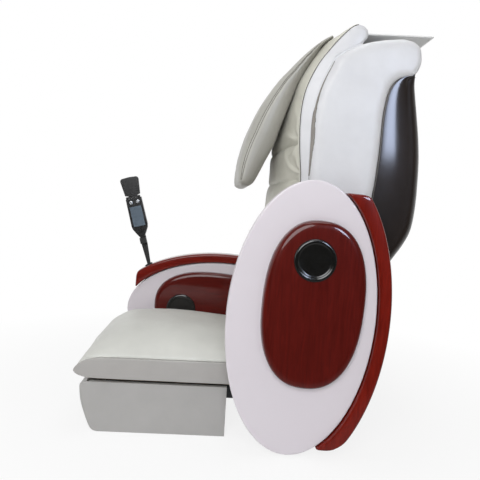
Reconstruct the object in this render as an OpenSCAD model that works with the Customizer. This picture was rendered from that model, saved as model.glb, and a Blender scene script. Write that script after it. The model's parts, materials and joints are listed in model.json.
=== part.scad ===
// Upper chair of a pedicure spa: swing-up oval arms, a reclining massage back,
// a flip-over head cushion and a flip-top handset.
// Millimetres. The sitter faces -Y and +Z is up. The origin is on the deck,
// at the middle of the chair's overall width and depth.

/* [Arms] */
// Half length of an arm's oval panel
panel_half_l = 344; // [320:1:352]
// Half height of an arm's oval panel
panel_half_h = 185; // [160:1:188]
// Thickness of each of the two panel shells
panel_t = 12; // [8:1:16]
// Bevel around a panel shell's outer edge
panel_bevel = 3; // [1:0.5:5]
// Thickness of the board between the two panel shells
arm_core_t = 16; // [12:1:20]
// Distance from the chair's middle to the middle of an arm
arm_mid_x = 305; // [303:1:320]
// Length from the pivot forward to the middle of the panel, with the arm level
arm_reach = 156; // [150:1:170]
// Height of the middle of the panel over the pivot, with the arm level
arm_rise = 20; // [10:1:30]
// Angle by which the left arm is stored swung up
left_raise = 93; // [0:1:93]
// Angle by which the right arm is stored swung up
right_raise = 2; // [0:1:30]
// Gap between the panel's edge and the arm rest rim
rim_gap = 2.5; // [1:0.5:5]
// Outer half length of the oval that the rim follows
rim_half_l = 396; // [385:1:420]
// Outer half height of the oval that the rim follows
rim_half_h = 219; // [210:1:225]
// Half width of the rim
rim_half_w = 32; // [26:1:34]
// Reach of the rim ahead of the panel's middle
rim_front = 321; // [290:1:325]
// Reach of the rim behind the panel's middle
rim_back = 321; // [300:1:332]
// Half length of the raised pod on each face
pod_half_l = 208; // [180:1:214]
// Half height of the raised pod
pod_half_h = 126; // [100:1:128]
// Height of the pod over its panel
pod_rise = 22; // [12:1:23]
// Offset of the pod ahead of the panel's middle
pod_ahead = 40; // [20:1:45]
// Offset of the pod above the panel's middle
pod_above = 24; // [15:1:34]
// Radius of the dished disc on each pod
disc_r = 52; // [35:1:60]
// Height of the disc over its pod
disc_t = 6.5; // [4:0.5:7]
// Offset of the disc ahead of the panel's middle
disc_ahead = 151; // [120:1:155]
// Offset of the disc above the panel's middle
disc_above = 12; // [5:1:25]

/* [Arm pivots] */
// Distance of the arm pivots behind the chair's middle
pivot_y = 90; // [86:1:92]
// Height of the arm pivots over the deck
pivot_z = 194; // [190:1:200]
// Radius of a pivot shaft
shaft_r = 12; // [8:0.5:14]
// Outer radius of the bush that an arm turns on
hub_r = 28; // [24:1:32]
// Thickness of a pivot bracket
bracket_t = 14; // [8:1:14]

/* [Seat] */
// Half width of the seat cushion
seat_half_w = 240; // [226:1:244]
// Reach of the seat's nose ahead of the chair's middle
seat_front = 456; // [450:1:470]
// Reach of the seat cushion behind the chair's middle
seat_back = 54; // [40:1:54]
// Height of the cushion's side seam over the deck
seat_seam_z = 207; // [200:1:220]
// Height of the crown above the side seam
seat_crown = 58; // [30:1:62]
// Thickness of the board under the cushion
pan_t = 12; // [8:1:18]

/* [Base] */
// Half width of the base box
base_half_w = 225; // [215:1:232]
// Height of the base box
base_h = 134; // [130:1:140]
// Wall of the base box panels
base_wall = 14; // [8:1:18]
// Reach of the base box ahead of the chair's middle
base_front_y = 441; // [430:1:446]
// Distance of the base box's rear panel ahead of the chair's middle
base_rear_y = 51; // [40:1:60]
// Slant of the base's front, from its knuckle back to the foot
base_slant = 44; // [20:1:60]
// Thickness of the mounting board
board_t = 15; // [10:1:20]
// Radius of the four bolt holes in the mounting board
bolt_r = 6.5; // [4:0.5:8]
// Spacing of the bolt holes across the chair
bolt_dx = 300; // [240:5:320]
// Spacing of the bolt holes along the chair
bolt_dy = 220; // [180:5:240]
// Distance of the bolt pattern's middle ahead of the chair's middle
bolt_mid_y = 235; // [225:1:245]

/* [Steel frame] */
// Width and height of the frame tubes
tube_w = 36; // [30:1:40]
// Clearance between the side rails and the base box's side panels
rail_clear = 8; // [4:1:18]
// Reach of the side rails behind the chair's middle
rail_back = 205; // [195:1:215]
// Thickness of the levelling glides under the rear legs
glide_t = 8; // [5:1:12]

/* [Back] */
// Distance of the recline hinge behind the chair's middle
hinge_y = 100; // [96:1:104]
// Height of the recline hinge over the base box
hinge_rise = 81; // [78:1:86]
// Height of the back's top over the hinge
back_h = 854; // [820:1:880]
// Depth of the back from the hinge to its rearmost point
back_depth = 324; // [310:1:335]
// Half width over the side bolsters
back_half_w = 250; // [240:1:252]
// Thickness of a side bolster
bolster_t = 72; // [66:1:76]
// Wall of the moulded rear shell
shell_t = 5; // [3:0.5:7]
// Half width of the back pad
pad_half_w = 228; // [215:1:236]
// Crown of the back pad ahead of its side seams
pad_crown = 26; // [10:1:28]
// Depth of the sewn channels across the back pad
channel_d = 9; // [4:1:12]
// Radius of the recline hinge pins
hinge_pin_r = 10; // [8:0.5:12]
// Largest recline angle, used to size the actuator's stroke
recline_deg = 35; // [20:1:35]

/* [Head cushion] */
// Half width of the head cushion
head_half_w = 200; // [170:1:215]
// Crown of the head cushion
head_crown = 12; // [4:1:16]
// Thickness of the stiffened anchor flap
flap_t = 5; // [4:0.5:6]
// Half width of the anchor flap
flap_half_w = 150; // [120:1:180]
// Reach of the anchor flap behind the chair's middle
flap_back = 456; // [440:1:470]

/* [Recline actuator] */
// Radius of the actuator's tube
act_tube_r = 21; // [16:1:23]
// Radius of the actuator's rod
act_rod_r = 9; // [6:0.5:11]
// Radius of the pins at the actuator's ends
act_pin_r = 6; // [4:0.5:7]
// Length of the lever under the recline hinge
lever_l = 117; // [110:1:120]
// Distance of the actuator's front pin ahead of the chair's middle
act_front = 310; // [300:1:320]

/* [Massage carriage] */
// Distance from the middle to each guide rod
rod_x = 128; // [115:1:132]
// Radius of the guide rods
rod_r = 8; // [6:0.5:9]
// Height of the carriage plate
carriage_h = 90; // [70:1:100]
// Radius of the massage rollers
roller_r = 27; // [20:1:29]
// Travel of the massage carriage
carriage_travel = 330; // [200:10:340]
// Radius of the lead screw
screw_r = 8; // [6:0.5:9]
// Clear height between the upper ends of the guide rods and the padding over them
rod_head_room = 43; // [34:1:64]

/* [Handset] */
// Lean of the handset towards the front
handset_lean = 15.5; // [5:0.5:20]
// Width of the handset body
handset_w = 58; // [48:1:62]
// Length of the handset body over its tapered foot
handset_l = 98; // [90:1:110]
// Length of the tapered foot
handset_foot = 46; // [36:1:50]
// Thickness of the handset body
handset_t = 22; // [18:1:26]
// Length of the flip lid
lid_l = 76; // [70:1:80]
// Width of the lid at its free end
lid_w = 66; // [58:1:70]
// Thickness of the lid
lid_t = 7; // [5:0.5:8]
// Length of the strip that carries the handset
holder_l = 102; // [80:1:110]
// Lean of the strip towards the front
holder_lean = 15.5; // [10:0.5:35]

/* [Clearances] */
// Gap between a soft part and its neighbours
soft_gap = 0.3; // [0.3:0.1:1]
// Running clearance of a shaft in its bore, on the radius
run_gap = 0.05; // [0.02:0.01:0.1]
// Clearance between parts that slide or swing past each other
swing_gap = 0.6; // [0.4:0.1:1]

/* [Hidden] */
$fn = 64;

// ---- places that several groups share ------------------------------------

hinge_z = base_h + hinge_rise;
base_in_x = base_half_w - base_wall;
rail_out_x = base_in_x - rail_clear;
rail_x = rail_out_x - tube_w / 2;
bolster_in_x = back_half_w - bolster_t;
side_plate_out = bolster_in_x - soft_gap;
side_plate_in = side_plate_out - 22;

// ---- helpers -------------------------------------------------------------

// Points of an oval, counter-clockwise; exponent 2 is an ellipse
function oval(a, b, n, e = 2, shift = [0, 0]) = [
    for (i = [0:n - 1])
        let (c = cos(360 * i / n), s = sin(360 * i / n))
        [shift[0] + a * sign(c) * pow(abs(c), 2 / e),
         shift[1] + b * sign(s) * pow(abs(s), 2 / e)]
];

// One point of a Catmull-Rom curve between b and c
function rounded(a, b, c, d, t) =
    0.5 * (2 * b + (c - a) * t + (2 * a - 5 * b + 4 * c - d) * t * t
           + (3 * b - a - 3 * c + d) * t * t * t);

// A smooth open curve through the points, with n steps between each two
function curve(p, n) = [
    for (i = [0:len(p) - 2], k = [0:n - 1])
        rounded(p[max(i - 1, 0)], p[i], p[i + 1], p[min(i + 2, len(p) - 1)], k / n),
    p[len(p) - 1]
];

// A smooth closed curve through the points
function ring(p, n) = [
    for (i = [0:len(p) - 1], k = [0:n - 1])
        let (m = len(p))
        rounded(p[(i + m - 1) % m], p[i], p[(i + 1) % m], p[(i + 2) % m], k / n)
];

// A counter-clockwise outline moved inward by d
function inset(p, d) = [
    for (i = [0:len(p) - 1])
        let (m = len(p), t = p[(i + 1) % m] - p[(i + m - 1) % m], l = norm(t))
        p[i] + d * [-t[1], t[0]] / l
];

// An outline in (y, z) with nothing below z
function lifted(p, z) = [for (q = p) [q[0], max(q[1], z)]];

function at_x(p, x) = [for (q = p) [x, q[0], q[1]]];
function at_w(p, w) = [for (q = p) [q[0], q[1], w]];
function reversed(p) = [for (i = [len(p) - 1:-1:0]) p[i]];

// Triangles that close a ring of n points, laced between its two long sides
function lacing(n) = concat(
    [for (i = [0:floor(n / 2) - 2])
        each [[i, i + 1, n - 2 - i], [i, n - 2 - i, n - 1 - i]]],
    n % 2 == 1 ? [[(n - 3) / 2, (n - 1) / 2, (n + 1) / 2]] : []
);

// A closed skin over rings with the same number of points. Point i of a ring
// and point n - 1 - i lie across from each other, so that the ends close.
module loft(rings) {
    n = len(rings[0]);
    last = len(rings) - 1;
    polyhedron(
        points = [for (r = rings) each r],
        faces = concat(
            lacing(n),
            [for (t = lacing(n)) [t[2] + last * n, t[1] + last * n, t[0] + last * n]],
            [for (k = [0:last - 1], i = [0:n - 1])
                let (a = k * n + i, b = k * n + (i + 1) % n)
                each [[a, a + n, b + n], [a, b + n, b]]]),
        convexity = 8);
}

// Draws a (y, z) outline and gives it width along X from x0 to x1
module slab(x0, x1) {
    translate([x0, 0, 0]) rotate([90, 0, 90]) linear_extrude(x1 - x0) children();
}

// A cylinder along X at (y, z)
module bar_x(x0, x1, y, z, r) {
    translate([x0, y, z]) rotate([0, 90, 0]) cylinder(r = r, h = x1 - x0);
}

module both_sides() {
    children();
    mirror([1, 0, 0]) children();
}

// ---- arms ----------------------------------------------------------------

core_half_t = arm_core_t / 2;
panel_out_w = core_half_t + panel_t;
pod_out_w = panel_out_w + pod_rise;
rim_in_l = panel_half_l + rim_gap;
rim_in_h = panel_half_h + rim_gap;
oval_n = 72;
nut_r = 18;
nut_t = 8;
shaft_end_w = core_half_t - 2;

// Puts a level arm, drawn as (forward, up, outward) from the panel's middle, in place
module place_arm(raise, left) {
    mirror([left ? 1 : 0, 0, 0])
        translate([-arm_mid_x, pivot_y, pivot_z])
            rotate([-raise, 0, 0])
                rotate([90, 0, -90])
                    translate([arm_reach, arm_rise, 0]) children();
}

module at_pivot() {
    translate([-arm_reach, -arm_rise, 0]) children();
}

module panel_skin() {
    full = oval(panel_half_l, panel_half_h, oval_n);
    small = oval(panel_half_l - panel_bevel, panel_half_h - panel_bevel, oval_n);
    loft([
        at_w(full, core_half_t),
        at_w(full, panel_out_w - panel_bevel * 0.7),
        at_w(small, panel_out_w)
    ]);
}

module outer_panel() {
    panel_skin();
}

module inner_panel() {
    difference() {
        mirror([0, 0, 1]) panel_skin();
        at_pivot() translate([0, 0, -panel_out_w - 1])
            cylinder(r = hub_r + run_gap, h = panel_t + 2);
    }
}

// Board between the shells: it backs the panels and carries the rim and the hub
module arm_core() {
    core_inset = 4;
    rim_seat = 0.3;
    difference() {
        translate([0, 0, -core_half_t]) linear_extrude(arm_core_t) union() {
            polygon(oval(panel_half_l - core_inset, panel_half_h - core_inset, oval_n));
            intersection() {
                polygon(oval(rim_in_l - rim_seat, rim_in_h - rim_seat, oval_n));
                translate([-rim_back + 30, panel_half_h * 0.4])
                    square([rim_back + rim_front - 60, panel_half_h]);
            }
        }
        at_pivot() translate([0, 0, -core_half_t - 1])
            cylinder(r = hub_r + run_gap, h = arm_core_t - nut_t);
        at_pivot() translate([0, 0, -core_half_t])
            cylinder(r = nut_r + 3, h = arm_core_t + 1);
    }
}

// Height of the rim's top over the panel's middle, rounded down to its ends
function rim_top(u) =
    let (full = rim_half_h * sqrt(1 - pow(u / rim_half_l, 2)),
         base = rim_bottom(u),
         back = max(0, (-u - (rim_back - 34)) / 34),
         front = max(0, (u - (rim_front - 12)) / 12))
    base + (full - base) * (0.42 + 0.58 * sqrt(1 - min(1, back * back)))
         * (0.86 + 0.14 * sqrt(1 - min(1, front * front)));
function rim_bottom(u) = rim_in_h * sqrt(1 - pow(u / rim_in_l, 2));

// Rounded cross-section of the rim, from its bottom b to its top t
function rim_section(b, t, half_w) =
    let (r = 7, k = 0.29 * r)
    [[b, -half_w + r], [b + k, -half_w + k], [b + r, -half_w],
     [t - r, -half_w], [t - k, -half_w + k], [t, -half_w + r],
     [t, half_w - r], [t - k, half_w - k], [t - r, half_w],
     [b + r, half_w], [b + k, half_w - k], [b, half_w - r]];

module arm_rim() {
    steps = 36;
    end_round = 5;
    loft([
        for (i = [0:steps])
            let (a = -90 + 180 * i / steps,
                 mid = (rim_front - rim_back) / 2,
                 u = mid + (rim_front + rim_back) / 2 * sin(a),
                 side = end_round * pow(abs(sin(a)), 24))
            [for (q = rim_section(rim_bottom(u), rim_top(u), rim_half_w - side))
                [u, q[0], q[1]]]
    ]);
}

// Rings of a raised pod: straight flank, then a rounded shoulder to a flat top
module pod_form() {
    steps = [[0, 0], [0.5, 1.5], [0.74, 4], [0.9, 8.5], [1, 16]];
    loft([
        for (s = steps)
            at_w(oval(pod_half_l - s[1], pod_half_h - s[1], oval_n, 2.4,
                      [pod_ahead, pod_above]),
                 panel_out_w + pod_rise * s[0])
    ]);
}

module outer_pod() {
    pod_form();
}

module inner_pod() {
    difference() {
        mirror([0, 0, 1]) pod_form();
        at_pivot() translate([0, 0, -pod_out_w - 1])
            cylinder(r = hub_r + run_gap, h = pod_rise + 2);
    }
}

// Dished disc with a bevelled rim
module disc_form() {
    translate([disc_ahead, disc_above, pod_out_w]) rotate_extrude() polygon([
        [0, 0], [disc_r, 0], [disc_r, disc_t * 0.35], [disc_r * 0.95, disc_t * 0.85],
        [disc_r * 0.88, disc_t], [disc_r * 0.8, disc_t * 0.86],
        [disc_r * 0.74, disc_t * 0.5], [disc_r * 0.4, disc_t * 0.38],
        [0, disc_t * 0.34]
    ]);
}

module arm_discs() {
    disc_form();
    mirror([0, 0, 1]) disc_form();
}

// Bush with a bore that runs on the pivot shaft
module arm_hub() {
    hub_end = core_half_t - nut_t - 1;
    at_pivot() difference() {
        translate([0, 0, -pod_out_w]) cylinder(r = hub_r, h = pod_out_w + hub_end);
        translate([0, 0, -pod_out_w - 1])
            cylinder(r = shaft_r + run_gap, h = pod_out_w + hub_end + 2);
    }
}

// Nut on the end of a pivot shaft, in the cavity of the arm's board
module shaft_nut() {
    nut_in_x = arm_mid_x + core_half_t - nut_t - 0.7;
    difference() {
        translate([nut_in_x, pivot_y, pivot_z]) rotate([0, 90, 0])
            cylinder(r = nut_r, h = nut_t - 1, $fn = 6);
        bar_x(nut_in_x - 1, nut_in_x + nut_t, pivot_y, pivot_z, shaft_r + run_gap);
    }
}

module arm_left_outer_panel() { color("#dad4da") place_arm(left_raise, true) outer_panel(); }
module arm_left_inner_panel() { color("#dad4da") place_arm(left_raise, true) inner_panel(); }
module arm_left_core() { color("#2b2320") place_arm(left_raise, true) arm_core(); }
module arm_left_rim() { color("#6e150c") place_arm(left_raise, true) arm_rim(); }
module arm_left_outer_pod() { color("#5a100c") place_arm(left_raise, true) outer_pod(); }
module arm_left_inner_pod() { color("#5a100c") place_arm(left_raise, true) inner_pod(); }
module arm_left_discs() { color("#161412") place_arm(left_raise, true) arm_discs(); }
module arm_left_hub() { color("#8d8f92") place_arm(left_raise, true) arm_hub(); }
module arm_right_outer_panel() { color("#dad4da") place_arm(right_raise, false) outer_panel(); }
module arm_right_inner_panel() { color("#dad4da") place_arm(right_raise, false) inner_panel(); }
module arm_right_core() { color("#2b2320") place_arm(right_raise, false) arm_core(); }
module arm_right_rim() { color("#6e150c") place_arm(right_raise, false) arm_rim(); }
module arm_right_outer_pod() { color("#5a100c") place_arm(right_raise, false) outer_pod(); }
module arm_right_inner_pod() { color("#5a100c") place_arm(right_raise, false) inner_pod(); }
module arm_right_discs() { color("#161412") place_arm(right_raise, false) arm_discs(); }
module arm_right_hub() { color("#8d8f92") place_arm(right_raise, false) arm_hub(); }

// ---- arm pivots on the chassis --------------------------------------------

rail_top = base_h - soft_gap;
rail_bottom = rail_top - tube_w;
bracket_out_x = arm_mid_x - pod_out_w - 23;
bracket_in_x = bracket_out_x - bracket_t;
bracket_half_l = 32;

module arm_bracket() {
    difference() {
        union() {
            slab(bracket_in_x, bracket_out_x) union() {
                translate([pivot_y, pivot_z]) circle(r = bracket_half_l);
                translate([pivot_y - bracket_half_l, rail_bottom])
                    square([2 * bracket_half_l, pivot_z - rail_bottom]);
            }
            slab(rail_out_x, bracket_in_x)
                translate([pivot_y - bracket_half_l, rail_bottom])
                    square([2 * bracket_half_l, tube_w]);
        }
        bar_x(bracket_in_x - 1, bracket_out_x + 1, pivot_y, pivot_z, shaft_r + run_gap);
    }
}

module arm_shaft() {
    head_t = 5;
    bar_x(bracket_in_x - soft_gap, arm_mid_x + shaft_end_w, pivot_y, pivot_z, shaft_r);
    bar_x(bracket_in_x - soft_gap - head_t, bracket_in_x - soft_gap, pivot_y, pivot_z,
          shaft_r + 4);
}

module arm_spacer() {
    difference() {
        bar_x(bracket_out_x + soft_gap, arm_mid_x - pod_out_w - swing_gap,
              pivot_y, pivot_z, hub_r - 4);
        bar_x(bracket_out_x - 1, arm_mid_x, pivot_y, pivot_z, shaft_r + run_gap);
    }
}

module arm_brackets() { color("#3a3c3f") both_sides() arm_bracket(); }
module arm_shafts() { color("#b9bbbd") both_sides() arm_shaft(); }
module arm_spacers() { color("#e6e4dc") both_sides() arm_spacer(); }
module shaft_nuts() { color("#c2c4c6") both_sides() shaft_nut(); }

// ---- base ------------------------------------------------------------------

base_edge_r = 14;

// Side outline of the base: upright, a knuckle near the top and a slanted front
function base_outline(shift = 0) = [
    [-base_front_y + base_slant + shift, 0],
    [-base_rear_y, 0],
    [-base_rear_y, base_h],
    [-base_front_y + base_edge_r + 4 + shift, base_h],
    [-base_front_y + base_edge_r * 0.3 + shift, base_h - base_edge_r * 0.5],
    [-base_front_y + shift, base_h - base_edge_r * 1.2],
    [-base_front_y + 6 + shift, base_h * 0.54],
    [-base_front_y + base_slant * 0.66 + shift, base_h * 0.08]
];

module base_side() {
    slab(base_in_x, base_half_w) polygon(base_outline());
}

module base_sides() { color("#c9c6c3") both_sides() base_side(); }

module base_front_panel() {
    color("#c9c6c3") slab(-base_in_x, base_in_x) difference() {
        polygon(base_outline());
        polygon(base_outline(base_wall));
        translate([-base_front_y + base_slant + base_wall, -1])
            square([base_front_y, base_h + 2]);
    }
}

// Rear panel, cut away around the actuator and under the side rails
module base_rear_panel() {
    notch = act_tube_r + 25;
    color("#c9c6c3") difference() {
        translate([-base_in_x, -base_rear_y - base_wall, 0])
            cube([2 * base_in_x, base_wall, rail_bottom - soft_gap]);
        translate([-notch, -base_rear_y - base_wall - 1, board_t + 24])
            cube([2 * notch, base_wall + 2, base_h]);
    }
}

module mounting_board() {
    front = -base_front_y + base_slant + base_wall;
    back = -base_rear_y - base_wall;
    color("#b08d5f") difference() {
        translate([-base_in_x, front, 0]) cube([2 * base_in_x, back - front, board_t]);
        for (x = [-1, 1], y = [-1, 1])
            translate([x * bolt_dx / 2, y * bolt_dy / 2 - bolt_mid_y, -1])
                cylinder(r = bolt_r, h = board_t + 2);
    }
}

// ---- steel frame -----------------------------------------------------------

leg_front_y = -base_front_y + base_slant + base_wall + 8;
leg_rear_y = -base_rear_y - base_wall - tube_w - 6;
hinge_plate_t = 10;
// Length of the boss between a back plate and its hinge plate, with its play
hinge_boss_l = 13.3;
hinge_plate_in = side_plate_out + hinge_boss_l;
hinge_plate_out = hinge_plate_in + hinge_plate_t;

module tube_box(x, y, z0, z1) {
    translate([x - tube_w / 2, y, z0]) cube([tube_w, tube_w, z1 - z0]);
}

module side_rails() {
    color("#2c2e31") both_sides()
        translate([rail_x - tube_w / 2, leg_front_y, rail_bottom])
            cube([tube_w, rail_back - leg_front_y, tube_w]);
}

module frame_legs() {
    color("#2c2e31") both_sides() {
        tube_box(rail_x, leg_front_y, board_t, rail_bottom);
        tube_box(rail_x, leg_rear_y, board_t, rail_bottom);
        tube_box(rail_x, rail_back - tube_w, glide_t, rail_bottom);
    }
}

module cross_tubes() {
    inner = rail_x - tube_w / 2;
    color("#2c2e31") for (y = [leg_front_y, rail_back - tube_w])
        translate([-inner, y, rail_bottom]) cube([2 * inner, tube_w, tube_w]);
}

// Ears on the front cross tube that hold the actuator's front pin
module actuator_ears() {
    back_face = leg_front_y + tube_w;
    color("#2c2e31") difference() {
        for (s = [-1, 1])
            slab(s * 32 - 5, s * 32 + 5) union() {
                translate([act_y, act_z]) circle(r = 13);
                translate([back_face, act_z - 13]) square([act_y - back_face, 26]);
            }
        bar_x(-45, 45, act_y, act_z, act_pin_r + run_gap);
    }
}

// Plates that carry the recline pins; each one's foot reaches in to its side rail
module hinge_plates() {
    foot_in = min(hinge_plate_in, rail_out_x - 12);
    color("#2c2e31") both_sides() difference() {
        union() {
            slab(hinge_plate_in, hinge_plate_out) union() {
                translate([hinge_y, hinge_z]) circle(r = 26);
                translate([hinge_y - 26, rail_top]) square([52, hinge_z - rail_top]);
            }
            slab(foot_in, hinge_plate_out)
                translate([hinge_y - 26, rail_top]) square([52, hinge_plate_t]);
        }
        bar_x(hinge_plate_in - 1, hinge_plate_out + 1, hinge_y, hinge_z,
              hinge_pin_r + run_gap);
    }
}

module rear_glides() {
    color("#1d1d1d") both_sides()
        translate([rail_x, rail_back - tube_w / 2, 0]) rotate_extrude()
            polygon([[0, 0], [19, 0], [20, 2], [20, glide_t - 2], [16, glide_t], [0, glide_t]]);
}

// Transformer and motor control case on the mounting board
module power_unit() {
    case_w = 84;
    side_room = 37;
    color("#3f4144") translate([base_in_x - side_room - case_w, -bolt_mid_y - 70, board_t])
        difference() {
            union() {
                cube([case_w, 140, 58]);
                for (k = [0:5])
                    translate([case_w, 22 + k * 18, 12]) cube([3, 8, 34]);
            }
            for (k = [0:6])
                translate([12, 14 + k * 17, 52]) cube([60, 7, 8]);
        }
}

module recline_pins() {
    color("#b9bbbd") both_sides() {
        bar_x(side_plate_in, hinge_plate_out + 1, hinge_y, hinge_z, hinge_pin_r);
        bar_x(hinge_plate_out + soft_gap, hinge_plate_out + 6, hinge_y, hinge_z,
              hinge_pin_r + 5);
    }
}

// ---- seat --------------------------------------------------------------------

seat_bottom = base_h + pan_t + soft_gap;

module seat_board() {
    color("#b08d5f") translate([-rail_out_x, -base_front_y + 40, base_h])
        cube([2 * rail_out_x, base_front_y - 40 + seat_back - 20, pan_t]);
}

// Cushion outline in (y, z); side is the seam edge, otherwise the crowned middle
function seat_outline(rise) = [
    [-seat_front + 70, seat_bottom],
    [-seat_front * 0.3, seat_bottom],
    [seat_back - 24, seat_bottom],
    [seat_back - 4, seat_bottom + 8],
    [seat_back, seat_seam_z - 18],
    [seat_back - 14, seat_seam_z + 2 + rise * 0.3],
    [seat_back - 90, seat_seam_z + 1 + rise * 0.72],
    [-seat_front * 0.45, seat_seam_z + rise],
    [-seat_front * 0.76, seat_seam_z - 1 + rise * 0.92],
    [-seat_front + 56, seat_seam_z - 4 + rise * 0.58],
    [-seat_front + 22, seat_seam_z - 14 + rise * 0.28],
    [-seat_front + 1, seat_seam_z - 35],
    [-seat_front + 7, seat_seam_z - 49],
    [-seat_front + 30, seat_bottom + 3]
];

module seat_cushion() {
    steps = 8;
    color("#d3d2cf") loft([
        for (i = [-steps:steps])
            let (x = seat_half_w * sin(90 * i / steps),
                 k = 1 - pow(abs(x) / seat_half_w, 3.2),
                 edge = pow(abs(i / steps), 14))
            at_x(inset(lifted(ring(seat_outline(seat_crown * k), 3), seat_bottom), 5 * edge), x)
    ]);
}

// ---- back --------------------------------------------------------------------

// Outlines of the back are offsets from the hinge at the nominal height and depth
nominal_h = 854;
nominal_depth = 324;
function bk(p) = [
    for (q = p) [hinge_y + q[0] * back_depth / nominal_depth,
                 hinge_z + q[1] * back_h / nominal_h]
];
function back_y(z_off, table) =
    hinge_y + lookup(z_off, table) * back_depth / nominal_depth;

// Front edge of the bolsters and their rounded top, from the bottom up
bolster_front = bk([[32, 47], [26, 110], [24, 200], [22, 300], [22, 400], [22, 480],
                    [22, 555], [21, 618], [24, 655], [32, 695], [44, 733], [60, 768],
                    [80, 801], [136, 833], [194, 848], [244, 854]]);
// Rear edge of the bolsters, from the bottom up: hollowed, with an overhanging top
bolster_rear = bk([[74, 47], [104, 110], [143, 200], [172, 300], [191, 395], [203, 490],
                   [208, 575], [210, 650], [218, 708], [233, 740], [257, 757],
                   [280, 763], [293, 784], [296, 806], [288, 836], [268, 850]]);
// Rear edge of the moulded shell, from the bottom up
shell_rear = bk([[96, 50], [164, 118], [218, 196], [267, 277], [299, 327], [317, 372],
                 [324, 447], [322, 534], [315, 598], [305, 655], [295, 706],
                 [283, 742]]);

bolster_ring = concat(curve(bolster_rear, 2), reversed(curve(bolster_front, 2)));
// Number of points of the bolster's rear edge that the shell's front edge follows
shell_points = 12;

module bolster() {
    loft([
        at_x(bolster_ring, bolster_in_x),
        at_x(bolster_ring, back_half_w - 26),
        at_x(inset(bolster_ring, 2), back_half_w - 13),
        at_x(inset(bolster_ring, 6), back_half_w - 4),
        at_x(inset(bolster_ring, 11), back_half_w)
    ]);
}

module bolster_left() { color("#dadbe0") bolster(); }
module bolster_right() { color("#dadbe0") mirror([1, 0, 0]) bolster(); }

// Underside of the padding across the top, from its front to its rear
top_pad_low = [[96, 756], [160, 738]];

// Padding across the top, between the two side bolsters
module top_bolster() {
    half = bolster_in_x - soft_gap;
    first = 18;
    last = 37;
    color("#dadbe0") slab(-half, half)
        polygon(concat(bk(top_pad_low),
                       [for (i = [first:last]) bolster_ring[i]]));
}

// Rear shell: a moulded tray with rounded long edges, open to the front
module back_shell() {
    half = back_half_w - 8;
    open_in = 26;
    turn = [[-1, 22], [-0.96, 10], [-0.86, 2], [-0.7, 0], [0.7, 0], [0.86, 2], [0.96, 10],
            [1, 22]];
    rear = curve(shell_rear, 2);
    // the bolster's own curve, so that the two edges stay parallel
    front = reversed([for (q = [for (i = [0:2 * shell_points - 2]) curve(bolster_rear, 2)[i]])
        q + [soft_gap, 0]]);
    color("#26211e") difference() {
        loft([
            for (s = turn) at_x(shell_ring(rear, front, s[1]), s[0] * half)
        ]);
        loft([
            for (s = turn)
                at_x(shell_ring(rear, [for (q = front) q - [open_in, 0]], s[1] + shell_t),
                     s[0] * (half - shell_t))
        ]);
    }
}

// Shell section between its front edge and the rear outline moved in by d
function shell_ring(rear, front, d) = concat(
    [for (i = [0:len(rear) - 1])
        let (a = rear[max(i - 1, 0)], b = rear[min(i + 1, len(rear) - 1)], t = b - a)
        rear[i] + d * [-t[1], t[0]] / norm(t)],
    front);

rod_y = hinge_y + 84;
rods_top = bk(top_pad_low)[1][1] - rod_head_room;

// Upright plates of the reclining frame, hinged at their feet
module back_side_plates() {
    rear_y = rod_y + 15;
    front_y = rod_y - 21;
    top = rods_top + 5;
    foot = [hinge_y, hinge_z];
    color("#2c2e31") both_sides() difference() {
        union() {
            slab(side_plate_in, side_plate_out) union() {
                translate(foot) circle(r = 26);
                polygon([foot + [-10, 24], foot + [0, -26], foot + [26, -20],
                         foot + [58, 40], [rear_y, hinge_z + 110], [rear_y, top],
                         [front_y, top], [front_y, hinge_z + 130], foot + [40, 58],
                         foot + [34, 36], foot + [16, 26]]);
            }
            bar_x(side_plate_out - 1, hinge_plate_in - swing_gap, hinge_y, hinge_z, 24);
        }
        bar_x(side_plate_in - 1, hinge_plate_in + 1, hinge_y, hinge_z,
              hinge_pin_r + run_gap);
    }
}

// Torque tube between the plates, with the lever that the actuator drives
module recline_tube() {
    lever = lever_tip();
    color("#2c2e31") difference() {
        union() {
            bar_x(-side_plate_in, side_plate_in, hinge_y, hinge_z, 20);
            for (s = [-1, 1])
                slab(s * 16 - 4, s * 16 + 4) union() {
                    translate(lever) circle(r = 13);
                    polygon([[hinge_y - 16, hinge_z], [hinge_y + 16, hinge_z],
                             lever + [13, 0], lever + [-13, 0]]);
                }
        }
        bar_x(-30, 30, lever[0], lever[1], act_pin_r + run_gap);
    }
}

// Back pad: crowned across, with channels sewn across it
pad_front_table = [[41, -8], [85, -6], [185, -2], [285, 3], [385, 6], [482, 7],
                   [553, 0], [615, -4], [672, -2], [723, 9], [778, 34], [826, 68],
                   [842, 81]];
// Rear face of the pad, which lies on the front of the bolsters
pad_rear_table = [[41, 30], [110, 25.4], [200, 23.4], [300, 21.4], [618, 20.3],
                  [640, 20.9], [655, 23.2], [695, 31], [733, 42.6], [768, 57.9],
                  [786, 67.2], [801, 76.9], [818, 103.5], [833, 132], [842, 142],
                  [852, 146], [866, 141]];
pad_channels = [105, 196, 287, 378, 469, 560];
pad_z = concat(
    [41, 52],
    [for (c = pad_channels) each [c - 24, c - 12, c, c + 12, c + 24, c + 46]],
    [620, 640, 655, 675, 695, 715, 733, 752, 768, 786, 801, 818, 833, 842]
);

// Top of the pad, on which the anchor flap lies
pad_crest = [129, 874];

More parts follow.
